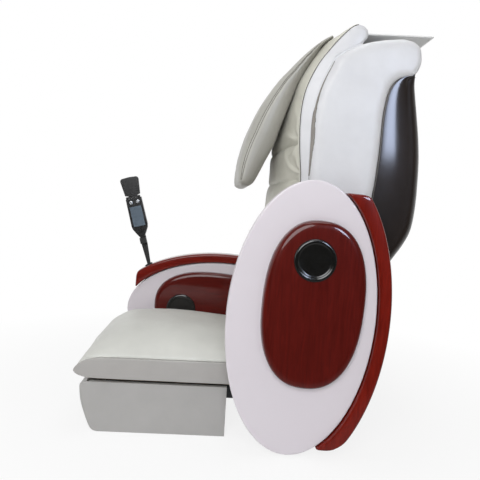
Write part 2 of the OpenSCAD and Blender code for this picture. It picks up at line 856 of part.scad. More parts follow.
function pad_section(x) =
    let (k = 1 - pow(abs(x) / pad_half_w, 2.6), kh = back_h / nominal_h, n = len(pad_z))
    concat(
        [for (z = pad_z) [back_y(z, pad_rear_table), hinge_z + z * kh]],
        bk([[146, 855], [138, 870], pad_crest, [118, 868], [104, 860]]),
        [for (i = [n - 1:-1:0])
            let (z = pad_z[i],
                 swell = pad_crown * k * min(1, 0.35 + (pad_z[n - 1] - z) / 260)
                       * min(1, 0.4 + (z - pad_z[0]) / 90),
                 groove = channel_d * k * max([for (c = pad_channels)
                     max(0, 1 - abs(z - c) / 18)]))
            [back_y(z, pad_front_table) - swell + groove, hinge_z + z * kh]]
    );

module back_pad() {
    steps = 5;
    color("#a9a795") loft([
        for (i = [-steps:steps])
            let (x = pad_half_w * sin(90 * i / steps))
            at_x(pad_section(x), x)
    ]);
}

head_hinge = [hinge_y + 84 * back_depth / nominal_depth, hinge_z + 865 * back_h / nominal_h];
flap_rise = 14;

// Stiffened flap that anchors the head cushion over the top of the back
module anchor_flap() {
    low = bk([pad_crest + [0, soft_gap]])[0][1];
    crest = hinge_y + pad_crest[0];
    hem = 26;
    front = head_half_w - hem;
    color("#c9c8c2") {
        intersection() {
            slab(-front, front) polygon([
                head_hinge + [0, -flap_t / 2], [crest - 12, low - 1.5], [crest, low],
                [flap_back, low + flap_rise], [flap_back, low + flap_rise + flap_t],
                [crest - 2, low + flap_t], [crest - 14, low + flap_t - 1.7],
                head_hinge + [-1, flap_t / 2]]);
            translate([0, 0, hinge_z]) linear_extrude(back_h * 1.2)
                polygon([[-front, head_hinge[0] - 10], [front, head_hinge[0] - 10],
                         [front - 4, crest + 30], [flap_half_w, flap_back],
                         [-flap_half_w, flap_back], [-front + 4, crest + 30]]);
        }
        bar_x(-front, front, head_hinge[0], head_hinge[1], 5);
    }
}

// ---- massage carriage --------------------------------------------------------

carriage_low = 62;
carriage_t = 24;
// Upper block and spare room over the carriage's highest place
rod_spare = 38;
rod_len = carriage_low + carriage_h + carriage_travel + rod_spare;
rod_foot = [rod_y, rods_top - rod_len];

// Draws in the rods' own frame: origin at their foot, Z along them
module on_rods() {
    translate([0, rod_foot[0], rod_foot[1]]) children();
}

module guide_rods() {
    color("#c8cacc") on_rods() both_sides()
        translate([rod_x, 0, 0]) cylinder(r = rod_r, h = rod_len);
}

// Cross members between the side plates, bored for the rods and the screw
module rod_blocks() {
    color("#4a4c4f") on_rods() for (z = [0, rod_len - 20]) difference() {
        translate([-side_plate_in, -18, z]) cube([2 * side_plate_in, 32, 20]);
        for (x = [-rod_x, 0, rod_x])
            translate([x, 0, z - 1])
                cylinder(r = (x == 0 ? screw_r : rod_r) + run_gap, h = 22);
    }
}

// Lead screw with a drive collar below the lower block
module lead_screw() {
    collar_t = 12;
    color("#a7a9ab") on_rods() {
        translate([0, 0, -collar_t]) cylinder(r = screw_r, h = rod_len + collar_t);
        translate([0, 0, -collar_t]) cylinder(r = screw_r + 9, h = collar_t - soft_gap);
    }
}

module carriage_plate() {
    color("#6d7074") on_rods() translate([0, 0, carriage_low]) difference() {
        union() {
            translate([-rod_x - 18, -carriage_t / 2, 0])
                cube([2 * rod_x + 36, carriage_t, carriage_h]);
            for (x = [-84, -22, 22, 84])
                slab(x - 4, x + 4) union() {
                    translate([-32, carriage_h / 2]) circle(r = 13);
                    translate([-32, carriage_h / 2 - 13]) square([32, 26]);
                }
        }
        for (x = [-rod_x, 0, rod_x])
            translate([x, 0, -1])
                cylinder(r = (x == 0 ? screw_r : rod_r) + run_gap, h = carriage_h + 2);
        bar_x(-100, 100, -32, carriage_h / 2, 5 + run_gap);
        for (s = [-1, 1])
            translate([s * 53 - 27, -carriage_t, carriage_h / 2 - roller_r - 4])
                cube([54, carriage_t + 9, 2 * roller_r + 8]);
    }
}

// Kneading motor on the rear of the carriage
module carriage_motor() {
    color("#34363a") on_rods()
        translate([0, carriage_t / 2, carriage_low + carriage_h / 2]) rotate([-90, 0, 0]) {
            cylinder(r = 30, h = 12);
            translate([0, 0, 12]) cylinder(r = 24, h = 46);
            translate([0, 0, 58]) cylinder(r = 9, h = 5);
        }
}

module roller_axle() {
    color("#c2c4c6") on_rods() translate([0, 0, carriage_low])
        bar_x(-94, 94, -32, carriage_h / 2, 5);
}

module massage_rollers() {
    color("#e0dccf") on_rods() translate([0, 0, carriage_low])
        for (s = [-1, 1])
            translate([s * 53, -32, carriage_h / 2]) rotate([0, 90, 0]) rotate_extrude()
                polygon([[5.05, -24], [roller_r * 0.7, -24], [roller_r * 0.94, -17],
                         [roller_r, -6], [roller_r, 6], [roller_r * 0.94, 17],
                         [roller_r * 0.7, 24], [5.05, 24]]);
}

// ---- head cushion --------------------------------------------------------------

// Front and rear of the hanging cushion at its side seams, from the bottom up
head_front = [[-152, 462], [-152, 486], [-147, 525], [-135, 573], [-118, 620],
              [-96, 669], [-74, 708], [-52, 741], [-27, 771], [4, 808], [42, 845],
              [73, 865]];
head_rear = [[-137, 455], [-119, 458], [-108, 476], [-88, 520], [-67, 565], [-49, 620],
             [-29, 682], [-14, 726], [3, 762], [21, 795], [46, 832], [80, 861]];

module head_cushion() {
    steps = 7;
    m = 23;
    color("#c0bfb8") loft([
        for (i = [-steps:steps])
            let (x = head_half_w * sin(90 * i / steps),
                 k = 1 - pow(abs(i / steps), 3),
                 edge = pow(abs(i / steps), 8),
                 front = [for (j = [0:m - 1]) reversed(curve(head_front, 2))[j]
                     + head_crown * k * sin(180 * j / (m - 1)) * [-0.84, 0.54]])
            at_x(inset(bk(concat(curve(head_rear, 2), front)), 3 * edge), x)
    ]);
}

// ---- recline actuator ------------------------------------------------------------

// The lever swings evenly to both sides of upright, so its tip stays level
function lever_tip() = [
    hinge_y + lever_l * sin(recline_deg / 2),
    hinge_z - lever_l * cos(recline_deg / 2)
];
act_y = -act_front;
act_z = lever_tip()[1];
act_len = lever_tip()[0] - act_y;
act_stroke = 2 * lever_l * sin(recline_deg / 2);
tube_len = 250;
eye_gap = 0.4;
// Height that the lever pin dips in mid-swing, and the slot's room for it
eye_slot = lever_l * (1 - cos(recline_deg / 2)) + 0.5;

// Draws along the actuator: X across, Y from the front pin to the lever pin
module on_actuator() {
    translate([0, act_y, act_z]) children();
}

module actuator_tube() {
    color("#55585c") on_actuator() difference() {
        union() {
            slab(-26, 26) circle(r = 13);
            translate([-18, 4, -12]) cube([36, 32, 24]);
            translate([-23, 30, -52]) cube([46, 36, 52 + 20]);
            translate([0, 60, 0]) rotate([-90, 0, 0])
                cylinder(r = act_tube_r, h = tube_len - 60);
            translate([0, 60, -34]) rotate([-90, 0, 0]) cylinder(r = 17, h = 100);
        }
        translate([0, 70, 0]) rotate([-90, 0, 0])
            cylinder(r = act_rod_r + run_gap, h = tube_len);
        bar_x(-30, 30, 0, 0, act_pin_r + run_gap);
    }
}

module actuator_rod() {
    color("#c8cacc") on_actuator() difference() {
        union() {
            translate([0, 74 + act_stroke, 0]) rotate([-90, 0, 0])
                cylinder(r = act_rod_r, h = act_len - act_stroke - 86);
            slab(-11, 11) translate([act_len, -eye_slot / 2]) circle(r = 17);
        }
        slab(-12, 12) hull() {
            translate([act_len, 0]) circle(r = act_pin_r + eye_gap);
            translate([act_len, -eye_slot]) circle(r = act_pin_r + eye_gap);
        }
    }
}

module actuator_front_pin() {
    color("#b9bbbd") {
        bar_x(-38, 38, act_y, act_z, act_pin_r);
        for (s = [-1, 1]) bar_x(s * 39.3 - 2, s * 39.3 + 2, act_y, act_z, act_pin_r + 3);
    }
}

module lever_pin() {
    color("#b9bbbd") {
        bar_x(-22, 22, lever_tip()[0], lever_tip()[1], act_pin_r);
        for (s = [-1, 1])
            bar_x(s * 22.3 - 2, s * 22.3 + 2, lever_tip()[0], lever_tip()[1], act_pin_r + 3);
    }
}

// ---- handset -------------------------------------------------------------------

// Place on the right arm's rim that carries the handset, in the level arm's frame
holder_u = 282;
function arm_point(u, v, raise) = [
    pivot_y - (arm_reach + u) * cos(raise) + (arm_rise + v) * sin(raise),
    pivot_z + (arm_reach + u) * sin(raise) + (arm_rise + v) * cos(raise)
];
function rim_point(u) = arm_point(u, rim_top(u), right_raise);
holder_foot = rim_point(holder_u);
// Directions along the rim towards the front, and square to it
rim_along = (rim_point(holder_u + 4) - rim_point(holder_u - 4))
    / norm(rim_point(holder_u + 4) - rim_point(holder_u - 4));
rim_out = [rim_along[1], -rim_along[0]];
handset_tip = holder_foot + holder_l * [-sin(holder_lean), cos(holder_lean)];
// A point of the handset's own frame, in the chair's frame
function at_tip(y, z) = handset_tip + [
    y * cos(handset_lean) - z * sin(handset_lean),
    y * sin(handset_lean) + z * cos(handset_lean)
];

strip_back = -11;
strip_front = -8.5;
face_x = handset_t / 2 - 2;
tongue_w = 10;
tongue_l = 11;
lid_hinge_z = handset_foot + handset_l;

// Handset frame: origin at the tip of its body, Z up its lean, X to the sitter
module on_handset() {
    translate([-arm_mid_x, handset_tip[0], handset_tip[1]])
        rotate([handset_lean, 0, 0]) children();
}

// Strip standing on the arm rest rim, with a socket for the handset's tongue
module handset_holder() {
    socket_w = tongue_w + 2 * swing_gap;
    block_z = -22;
    color("#1f1e1d") {
        translate([-arm_mid_x, 0, 0]) {
            slab(strip_back, strip_front) polygon([
                holder_foot + 6 * rim_along + 1 * rim_out, at_tip(-11, block_z - 2),
                at_tip(-11, 8), at_tip(11, 8), at_tip(11, block_z - 2),
                holder_foot - 6 * rim_along + 1 * rim_out]);
            slab(strip_back, 9) polygon([
                holder_foot - 13 * rim_along + 0.3 * rim_out,
                holder_foot - 13 * rim_along + 3.3 * rim_out,
                holder_foot - 8 * rim_along + 5 * rim_out,
                holder_foot + 8 * rim_along + 5 * rim_out,
                holder_foot + 13 * rim_along + 3.3 * rim_out,
                holder_foot + 13 * rim_along + 0.3 * rim_out]);
        }
        on_handset() difference() {
            translate([strip_back, -11, block_z]) cube([20, 22, -1 - block_z]);
            translate([-5 - swing_gap, -socket_w / 2, -tongue_l - 0.3])
                cube([8 + 2 * swing_gap, socket_w, tongue_l + 2]);
        }
    }
}

// Outline of the body across its face, from the tapered foot up
function handset_outline(grow) =
    let (w = handset_w / 2 + grow)
    [[-7 - grow, 0], [7 + grow, 0], [w * 0.62, handset_foot * 0.4],
     [w * 0.92, handset_foot * 0.74], [w, handset_foot],
     [w * 0.96, lid_hinge_z], [-w * 0.96, lid_hinge_z], [-w, handset_foot],
     [-w * 0.92, handset_foot * 0.74], [-w * 0.62, handset_foot * 0.4]];

lid_axis_x = face_x + 1.6;
lid_axis_z = lid_hinge_z + 3.5;
ear_half = handset_w / 2 - 4;
knuckle_half = ear_half - 9;
key_foot = handset_foot - 4;

module bar_lid(r, y0, y1) {
    translate([lid_axis_x, y0, lid_axis_z]) rotate([-90, 0, 0])
        cylinder(r = r, h = y1 - y0);
}

module handset_body() {
    color("#1b1a19") on_handset() difference() {
        union() {
            slab(strip_front + 3.3, face_x) polygon(handset_outline(0));
            slab(strip_front + soft_gap, strip_front + 3.3) polygon(handset_outline(-2));
            slab(-5, 3) translate([-tongue_w / 2, -tongue_l])
                square([tongue_w, tongue_l + 2]);
            for (s = [-1, 1])
                translate([0, s * (ear_half - 4) - 4, 0]) {
                    translate([face_x - 7, 0, lid_hinge_z - 1]) cube([7 + 1.6, 8, 8]);
                    translate([lid_axis_x, 0, lid_axis_z]) rotate([-90, 0, 0])
                        cylinder(r = 3.8, h = 8);
                }
        }
        slab(face_x - 1.4, face_x + 1) translate([-21, key_foot]) square([42, 72]);
        for (s = [-1, 1])
            translate([face_x - 5.3, s * 12.5, lid_hinge_z - 15]) rotate([0, 90, 0])
                cylinder(r = 7 + 0.1, h = 8);
        bar_lid(2 + run_gap, -handset_w, handset_w);
    }
}

// Flip lid, standing open above the body
module handset_lid() {
    z0 = lid_hinge_z;
    wide = [
        [-knuckle_half, z0 + 1.5], [knuckle_half, z0 + 1.5], [knuckle_half, z0 + 8.4],
        [handset_w / 2 - 2, z0 + 12], [lid_w / 2, z0 + lid_l - 12],
        [lid_w / 2 - 1.5, z0 + lid_l - 6], [lid_w / 2 - 6, z0 + lid_l - 2],
        [0, z0 + lid_l], [-lid_w / 2 + 6, z0 + lid_l - 2],
        [-lid_w / 2 + 1.5, z0 + lid_l - 6], [-lid_w / 2, z0 + lid_l - 12],
        [-handset_w / 2 + 2, z0 + 12], [-knuckle_half, z0 + 8.4]
    ];
    color("#141312") on_handset() {
        slab(face_x - lid_t, face_x - 0.4) polygon(wide);
        translate([face_x - 1, -knuckle_half, lid_axis_z - 2]) cube([3, 2 * knuckle_half, 5]);
        bar_lid(3.4, -knuckle_half, knuckle_half);
        bar_lid(2, -ear_half - 0.5, ear_half + 0.5);
    }
}

module oval_button(side) {
    on_handset() translate([face_x - 3.8, side * 12.5, lid_hinge_z - 15])
        rotate([0, 90, 0]) rotate_extrude()
            polygon([[0, 0], [7, 0], [7, 4.4], [6.4, 5.4], [5, 5.8], [0, 5.8]]);
}

module power_button() { color("#b4b6b8") oval_button(-1); }
module auto_button() { color("#b4b6b8") oval_button(1); }

// Membrane keypad with domed keys, in the recess of the handset's face
module keypad() {
    color("#5f6d78") on_handset() {
        slab(face_x - 1.4, face_x - 0.2)
            translate([-20.7, key_foot + 0.3]) square([41.4, 71.4]);
        for (r = [0:4], c = [-1:1])
            slab(face_x - 0.3, face_x + 0.7)
                translate([c * 12.5 - 4.5, key_foot + 9 + r * 12.5]) square([9, 6]);
    }
}

// ---- nodes -------------------------------------------------------------------

base_sides();
base_front_panel();
base_rear_panel();
mounting_board();
side_rails();
frame_legs();
cross_tubes();
actuator_ears();
hinge_plates();
rear_glides();
power_unit();
arm_brackets();
arm_shafts();
arm_spacers();
shaft_nuts();
recline_pins();
actuator_front_pin();
actuator_tube();
seat_board();
seat_cushion();
back_side_plates();
recline_tube();
lever_pin();
back_shell();
bolster_left();
bolster_right();
top_bolster();
back_pad();
anchor_flap();
guide_rods();
rod_blocks();
lead_screw();
carriage_plate();
carriage_motor();
roller_axle();
massage_rollers();
head_cushion();
actuator_rod();
arm_left_outer_panel();
arm_left_inner_panel();
arm_left_core();
arm_left_rim();
arm_left_outer_pod();
arm_left_inner_pod();
arm_left_discs();
arm_left_hub();
arm_right_outer_panel();
arm_right_inner_panel();
arm_right_core();
arm_right_rim();
arm_right_outer_pod();
arm_right_inner_pod();
arm_right_discs();
arm_right_hub();
handset_holder();
handset_body();
handset_lid();
power_button();
auto_button();
keypad();
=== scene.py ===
"""Looks of a pedicure spa's upper chair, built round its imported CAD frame.

Points are in millimetres in the row frame until loft() turns them into metres.
The sitter faces -Y, +X is the sitter's left and +Z is up.
"""

import json
import math

import bmesh
import bpy
import numpy as np
from mathutils import Matrix, Vector
from mathutils.bvhtree import BVHTree
from mathutils.kdtree import KDTree

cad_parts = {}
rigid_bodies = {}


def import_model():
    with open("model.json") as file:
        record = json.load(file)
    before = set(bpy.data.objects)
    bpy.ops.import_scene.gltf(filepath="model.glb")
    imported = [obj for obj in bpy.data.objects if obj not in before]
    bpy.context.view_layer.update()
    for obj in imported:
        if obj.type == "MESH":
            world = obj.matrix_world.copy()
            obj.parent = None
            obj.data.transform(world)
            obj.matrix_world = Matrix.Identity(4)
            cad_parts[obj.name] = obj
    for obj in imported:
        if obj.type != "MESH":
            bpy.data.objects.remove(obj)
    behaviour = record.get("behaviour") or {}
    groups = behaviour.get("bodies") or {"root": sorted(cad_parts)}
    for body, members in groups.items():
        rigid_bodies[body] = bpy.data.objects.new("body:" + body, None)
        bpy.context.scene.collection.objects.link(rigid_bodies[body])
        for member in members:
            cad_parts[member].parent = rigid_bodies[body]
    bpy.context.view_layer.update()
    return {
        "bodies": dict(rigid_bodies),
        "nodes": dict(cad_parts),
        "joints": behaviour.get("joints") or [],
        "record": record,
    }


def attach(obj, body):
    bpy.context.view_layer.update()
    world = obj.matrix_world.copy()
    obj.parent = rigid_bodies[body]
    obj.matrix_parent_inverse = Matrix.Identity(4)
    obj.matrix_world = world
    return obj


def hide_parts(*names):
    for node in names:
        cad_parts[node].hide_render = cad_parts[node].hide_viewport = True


MM = 0.001
SIDE_NAME = {1: "left", -1: "right"}   # a side is the sign of its X
MATERIALS = {}   # every look by its name, filled by main()

# ---- values shared with the CAD, in millimetres and degrees ----

PANEL_HALF_L, PANEL_HALF_H, PANEL_T = 344, 185, 12
CORE_HALF_T = 8
PANEL_OUT_W = CORE_HALF_T + PANEL_T
ARM_MID_X, ARM_REACH, ARM_RISE = 305, 156, 20
ARM_RAISE = {1: 93, -1: 2}
RIM_GAP = 2.5
RIM_IN_L, RIM_IN_H = PANEL_HALF_L + RIM_GAP, PANEL_HALF_H + RIM_GAP
RIM_HALF_L, RIM_HALF_H, RIM_HALF_W = 396, 219, 32
RIM_FRONT, RIM_BACK = 321, 321
RIM_FRONT_DROP, RIM_BACK_DROP = 12, 34
POD_HALF_L, POD_HALF_H, POD_RISE = 208, 126, 22
POD_AHEAD, POD_ABOVE, POD_POWER = 40, 24, 2.4
DISC_R, DISC_T, DISC_AHEAD, DISC_ABOVE = 52, 6.5, 151, 12
POD_OUT_W = PANEL_OUT_W + POD_RISE
PANEL_EDGE_R, RIM_END_R, RIM_CORNER_R = 3.2, 7, 7.5
POD_SUNK, DISC_SUNK = 1, 0.5
PIVOT_Y, PIVOT_Z = 90, 194

SEAT_HALF_W, SEAT_FRONT, SEAT_BACK = 240, 456, 54
SEAT_SEAM_Z, SEAT_CROWN, SEAT_BOTTOM = 207, 58, 146.3
SEAM_DEPTH, PUCKER_DEPTH, LOOSE_DEPTH = 2.2, 1.1, 0.9
BASE_HALF_W, BASE_H, BASE_FRONT, BASE_REAR, BASE_SLANT = 225, 134, 441, 51, 44

HINGE_Y, HINGE_Z = 100, 215
BACK_HALF_W, BOLSTER_T, PAD_HALF_W = 250, 72, 228
PAD_CROWN, CHANNEL_D, CHANNEL_DROOP = 26, 9, 15
FOLD_WAVE, FOLD_CREASE, CORNER_PUFF = 6.0, 7.0, 8.5
HEAD_HALF_W, HEAD_CROWN, HEAD_DRAW, HEAD_REST_GAP = 200, 9, 0.84, 1.2
HEAD_EDGE_SHARE = 0.82
ZIP_LOW, ZIP_HIGH, ZIP_OPEN = 706, 1000, 13
BOXING_TUCK, SHELL_TUCK = 5, 8
FLAP_T, FLAP_HALF_W, FLAP_BACK, FLAP_RISE = 5, 150, 456, 14
SOFT_GAP = 0.3


def from_hinge(points):
    """Offsets from the recline hinge, as (y, z) points of the row frame."""
    return np.array(points, float) + (HINGE_Y, HINGE_Z)


BOLSTER_FRONT = from_hinge([
    (32, 47), (26, 110), (24, 200), (22, 300), (22, 400), (22, 480), (22, 555),
    (21, 618), (24, 655), (32, 695), (44, 733), (60, 768), (80, 801), (136, 833),
    (194, 848), (244, 854)])
BOLSTER_REAR = from_hinge([
    (74, 47), (104, 110), (143, 200), (172, 300), (191, 395), (203, 490), (208, 575),
    (210, 650), (218, 708), (233, 740), (257, 757), (280, 763), (293, 784), (296, 806),
    (288, 836), (268, 850)])
TOP_PAD_LOW = [(96, 756), (160, 738)]
TOP_PAD_REAR, TOP_PAD_FRONT = 9, 12   # the bolster's points that the top padding joins at
SHELL_REAR = from_hinge([
    (96, 50), (164, 118), (218, 196), (267, 277), (299, 327), (317, 372), (324, 447),
    (322, 534), (315, 598), (305, 655), (295, 706), (283, 742)])
SHELL_TOP = [(289, 738), (286, 757)]
PAD_FRONT = [(41, -8), (85, -6), (185, -2), (285, 3), (385, 6), (482, 7), (553, 0),
             (615, -4), (672, -2), (723, 9), (778, 34), (826, 68), (842, 81)]
PAD_REAR = [(41, 30), (110, 25.4), (200, 23.4), (300, 21.4), (460, 20.85), (560, 20.5),
            (618, 20.3), (640, 20.9), (655, 23.2), (695, 31), (733, 42.6), (768, 57.9),
            (786, 67.2), (801, 76.9), (818, 103.5), (833, 132), (842, 142)]
PAD_FULLER = [(41, 0), (100, 9), (200, 24), (300, 33), (380, 36), (440, 34), (500, 27),
              (560, 19), (600, 12), (640, 4), (670, 0)]
PAD_TOP = from_hinge([(146, 855), (138, 870), (129, 874), (118, 868), (104, 860)])
PAD_CHANNELS = (105, 196, 287, 378, 469, 560)
HEAD_FRONT = from_hinge([
    (-152, 462), (-152, 486), (-147, 525), (-135, 573), (-118, 620), (-96, 669),
    (-74, 708), (-52, 741), (-27, 771), (4, 808), (42, 845), (73, 865)])
HEAD_REAR = from_hinge([
    (-137, 455), (-119, 458), (-108, 476), (-88, 520), (-67, 565), (-49, 620),
    (-29, 682), (-14, 726), (3, 762), (21, 795), (46, 832), (80, 861)])
HEAD_HINGE = (HINGE_Y + 84, HINGE_Z + 865)

# ---- how finely the meshes are made ----

SWELL_FRAMES = 20
OVAL_POINTS = 168
BASE_ROWS = 40
DISC_POINTS = 96
HEAD_SIDE_POINTS = 90
TUBE_SIDES = 8
OFF_AXIS = (0.31, 0.17, 0.93)   # a direction that no thread runs along

# ---- camera: fitted to the photograph ----

CAMERA_AT = (1.5664, -0.098, 0.625)
CAMERA_YAW, CAMERA_PITCH, CAMERA_ROLL = 2.47, 4.07, 3.5
CAMERA_LENS, CAMERA_SENSOR = 38.7, 36.0


def new_object(name, data):
    made = bpy.data.objects.new(name, data)
    bpy.context.scene.collection.objects.link(made)
    return made


def make_camera():
    yaw, pitch, roll = (math.radians(a) for a in (CAMERA_YAW, CAMERA_PITCH, CAMERA_ROLL))
    turn = (Matrix.Rotation(math.pi / 2 - yaw, 4, "Z")
            @ Matrix.Rotation(math.pi / 2 - pitch, 4, "X") @ Matrix.Rotation(roll, 4, "Z"))
    data = bpy.data.cameras.new("camera")
    data.lens, data.sensor_width = CAMERA_LENS, CAMERA_SENSOR
    data.clip_start, data.clip_end = 0.05, 60
    camera = new_object("camera", data)
    camera.matrix_world = Matrix.Translation(CAMERA_AT) @ turn
    bpy.context.scene.camera = camera


# ---- outlines and meshes ----


def spline(points, steps, closed=False):
    """A Catmull-Rom curve through the points, with that many steps between each two."""
    p = np.asarray(points, float)
    p = np.vstack([p[-1:], p, p[:2]] if closed else [p[:1], p, p[-1:]])
    t = np.arange(steps)[:, None] / steps
    spans = [0.5 * (2 * b + (c - a) * t + (2 * a - 5 * b + 4 * c - d) * t**2
                    + (3 * b - a - 3 * c + d) * t**3)
             for a, b, c, d in zip(p, p[1:], p[2:], p[3:])]
    return np.vstack(spans if closed else [*spans, p[-1:]])


def spaced(points, count, closed=False):
    """The line again as that many evenly spaced points."""
    p = np.asarray(points, float)
    line = np.vstack([p, p[:1]]) if closed else p
    along = np.r_[0, np.cumsum(np.linalg.norm(np.diff(line, axis=0), axis=1))]
    at = np.linspace(0, along[-1], count, endpoint=not closed)
    return np.stack([np.interp(at, along, line[:, k]) for k in range(p.shape[1])], axis=1)


def inset(points, distance):
    """A closed counter-clockwise outline moved inward."""
    tangent = np.roll(points, -1, axis=0) - np.roll(points, 1, axis=0)
    tangent /= np.maximum(np.linalg.norm(tangent, axis=1, keepdims=True), 1e-9)
    return points + distance * np.stack([-tangent[:, 1], tangent[:, 0]], axis=1)


def at_x(outline, x):
    return np.column_stack([np.full(len(outline), float(x)), outline])


def oval(a, b, count, power=2.0, shift=(0, 0)):
    t = np.linspace(0, 2 * math.pi, count, endpoint=False)
    c, s = np.cos(t), np.sin(t)
    return np.column_stack([shift[0] + a * np.sign(c) * np.abs(c) ** (2 / power),
                            shift[1] + b * np.sign(s) * np.abs(s) ** (2 / power)])


def smoothstep(low, high, x):
    t = np.clip((np.asarray(x, float) - low) / (high - low), 0, 1)
    return t * t * (3 - 2 * t)


def value_noise(p):
    """Smooth noise from -1 to 1 at each row of p, the same on every run."""
    cell = np.floor(p).astype(np.int64)
    f = p - cell
    f = f * f * f * (f * (f * 6 - 15) + 10)
    total = np.zeros(len(p))
    for corner in range(8):
        step = np.array([corner & 1, corner >> 1 & 1, corner >> 2 & 1])
        q = cell + step
        h = (q[:, 0] * 374761393 + q[:, 1] * 668265263 + q[:, 2] * 2147483647) & 0xFFFFFFFF
        h = ((h ^ (h >> 13)) * 1274126177) & 0xFFFFFFFF
        h = (h ^ (h >> 16)) & 0xFFFF
        weight = np.prod(np.where(step, f, 1 - f), axis=1)
        total += weight * (h / 32767.5 - 1)
    return total


def noise_at(a, b, c):
    """value_noise at the points with these coordinates, each a column or one number."""
    return value_noise(np.column_stack(np.broadcast_arrays(a, b, c)))


def bell(distance, width):
    return np.exp(-((distance / width) ** 2))


def loft(name, rings, material, body, closed=True):
    """A piece that rides on a body: a skin over rings of equal length, in millimetres.

    It is capped at its two ends, or an open sheet over open lines.
    """
    rings = np.asarray(rings, float)
    count, n = rings.shape[:2]
    last = n if closed else n - 1
    faces = [(k * n + i, k * n + (i + 1) % n, (k + 1) * n + (i + 1) % n, (k + 1) * n + i)
             for k in range(count - 1) for i in range(last)]
    if closed:
        faces.append(tuple(range(n))[::-1])
        faces.append(tuple((count - 1) * n + i for i in range(n)))
    mesh = bpy.data.meshes.new(name)
    mesh.from_pydata((rings.reshape(-1, 3) * MM).tolist(), [], faces)
    mesh.validate()
    work = bmesh.new()
    work.from_mesh(mesh)
    bmesh.ops.remove_doubles(work, verts=work.verts, dist=1e-6)
    bmesh.ops.recalc_face_normals(work, faces=work.faces)
    work.to_mesh(mesh)
    work.free()
    mesh.materials.append(MATERIALS[material])
    mesh.polygons.foreach_set("use_smooth", [True] * len(mesh.polygons))
    piece = new_object(name, mesh)
    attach(piece, body)
    return piece


def stand_in(piece, slot, *nodes):
    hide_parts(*nodes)


def vectors(elements, attribute):
    """An attribute of a mesh's elements, as rows of three numbers."""
    flat = np.empty(len(elements) * 3)
    elements.foreach_get(attribute, flat)
    return flat.reshape(-1, 3)


def points_of(piece):
    return vectors(piece.data.vertices, "co") / MM


def normals_of(piece):
    return vectors(piece.data.vertex_normals, "vector")


def set_points(piece, points):
    piece.data.vertices.foreach_set("co", (points * MM).ravel())
    piece.data.update()


def baked(piece):
    """Applies the piece's modifiers to its mesh."""
    graph = bpy.context.evaluated_depsgraph_get()
    made = bpy.data.meshes.new_from_object(piece.evaluated_get(graph))
    piece.modifiers.clear()
    old, piece.data = piece.data, made
    bpy.data.meshes.remove(old)
    made.polygons.foreach_set("use_smooth", [True] * len(made.polygons))


def walled(piece, wall):
    """Gives an open skin its thickness, behind the side that shows."""
    thick = piece.modifiers.new("wall", "SOLIDIFY")
    thick.thickness, thick.offset = wall * MM, -1


def refined(piece):
    piece.modifiers.new("finer", "SUBSURF").levels = 1
    baked(piece)


def swollen(piece, voxel, pressure, cap, freedom):
    """Evens the mesh, swells it with Cloth pressure, and keeps each point within cap.

    freedom(points) gives how far each point may follow, from 0 to 1.
    """
    remesh = piece.modifiers.new("even", "REMESH")
    remesh.mode, remesh.voxel_size = "VOXEL", voxel * MM
    baked(piece)
    rest = points_of(piece)
    cloth = piece.modifiers.new("swell", "CLOTH")
    cloth.settings.use_pressure = True
    cloth.settings.uniform_pressure_force = pressure
    cloth.settings.effector_weights.gravity = 0
    for frame in range(1, SWELL_FRAMES + 1):
        bpy.context.scene.frame_set(frame)
    graph = bpy.context.evaluated_depsgraph_get()
    swelled = vectors(piece.evaluated_get(graph).data.vertices, "co") / MM
    piece.modifiers.clear()
    bpy.context.scene.frame_set(1)
    move = swelled - rest
    size = np.linalg.norm(move, axis=1, keepdims=True)
    move *= np.minimum(1, cap / np.maximum(size, 1e-9))
    set_points(piece, rest + move * freedom(rest)[:, None])
    refined(piece)


def tube(name, line, radius, material, body):
    """A round thread or welt along a line of points, in one of the materials."""
    line = np.asarray(line, float)
    ahead = np.gradient(line, axis=0)
    ahead /= np.linalg.norm(ahead, axis=1, keepdims=True)
    side = np.cross(ahead, OFF_AXIS)
    side /= np.linalg.norm(side, axis=1, keepdims=True)
    up = np.cross(side, ahead)
    turn = np.linspace(0, 2 * math.pi, TUBE_SIDES, endpoint=False)
    rings = [p + radius * (np.cos(turn)[:, None] * s + np.sin(turn)[:, None] * u)
             for p, s, u in zip(line, side, up)]
    loft(name, rings, material, body)


def onto(piece, line, lift=0.0):
    """The line's points moved to the nearest place on a piece, then lifted off it."""
    tree = BVHTree.FromPolygons(
        [tuple(p) for p in points_of(piece)],
        [tuple(p.vertices) for p in piece.data.polygons])
    out = []
    for p in np.asarray(line, float):
        at, normal, _, _ = tree.find_nearest(Vector(p))
        out.append(np.array(at + normal * lift))
    return np.array(out)


def distance_to(points, line):
    """Distance of each point to the nearest of a line's points, which lie close together."""
    tree = KDTree(len(line))
    for i, p in enumerate(line):
        tree.insert(p, i)
    tree.balance()
    return np.array([tree.find(p)[2] for p in points])


# ---- materials ----


def srgb(r, g, b):
    """Written 0-255 values as the linear colour that shaders take."""
    return tuple((c / 255 / 12.92 if c <= 10 else ((c / 255 + 0.055) / 1.055) ** 2.4)
                 for c in (r, g, b)) + (1.0,)


def add_node(tree, kind, sockets=None, sources=None, **settings):
    """A shader node: its sockets' values, the outputs that feed others, its settings."""
    node = tree.nodes.new("ShaderNode" + kind)
    for name, value in settings.items():
        setattr(node, name, value)
    for name, value in (sockets or {}).items():
        node.inputs[name].default_value = value
    for name, source in (sources or {}).items():
        tree.links.new(source, node.inputs[name])
    return node


def mapped(tree, source, start, end, low, high):
    """Maps a value's range start-end to low-high."""
    ends = {"From Min": start, "From Max": end, "To Min": low, "To Max": high}
    return add_node(tree, "MapRange", ends, {"Value": source}).outputs["Result"]


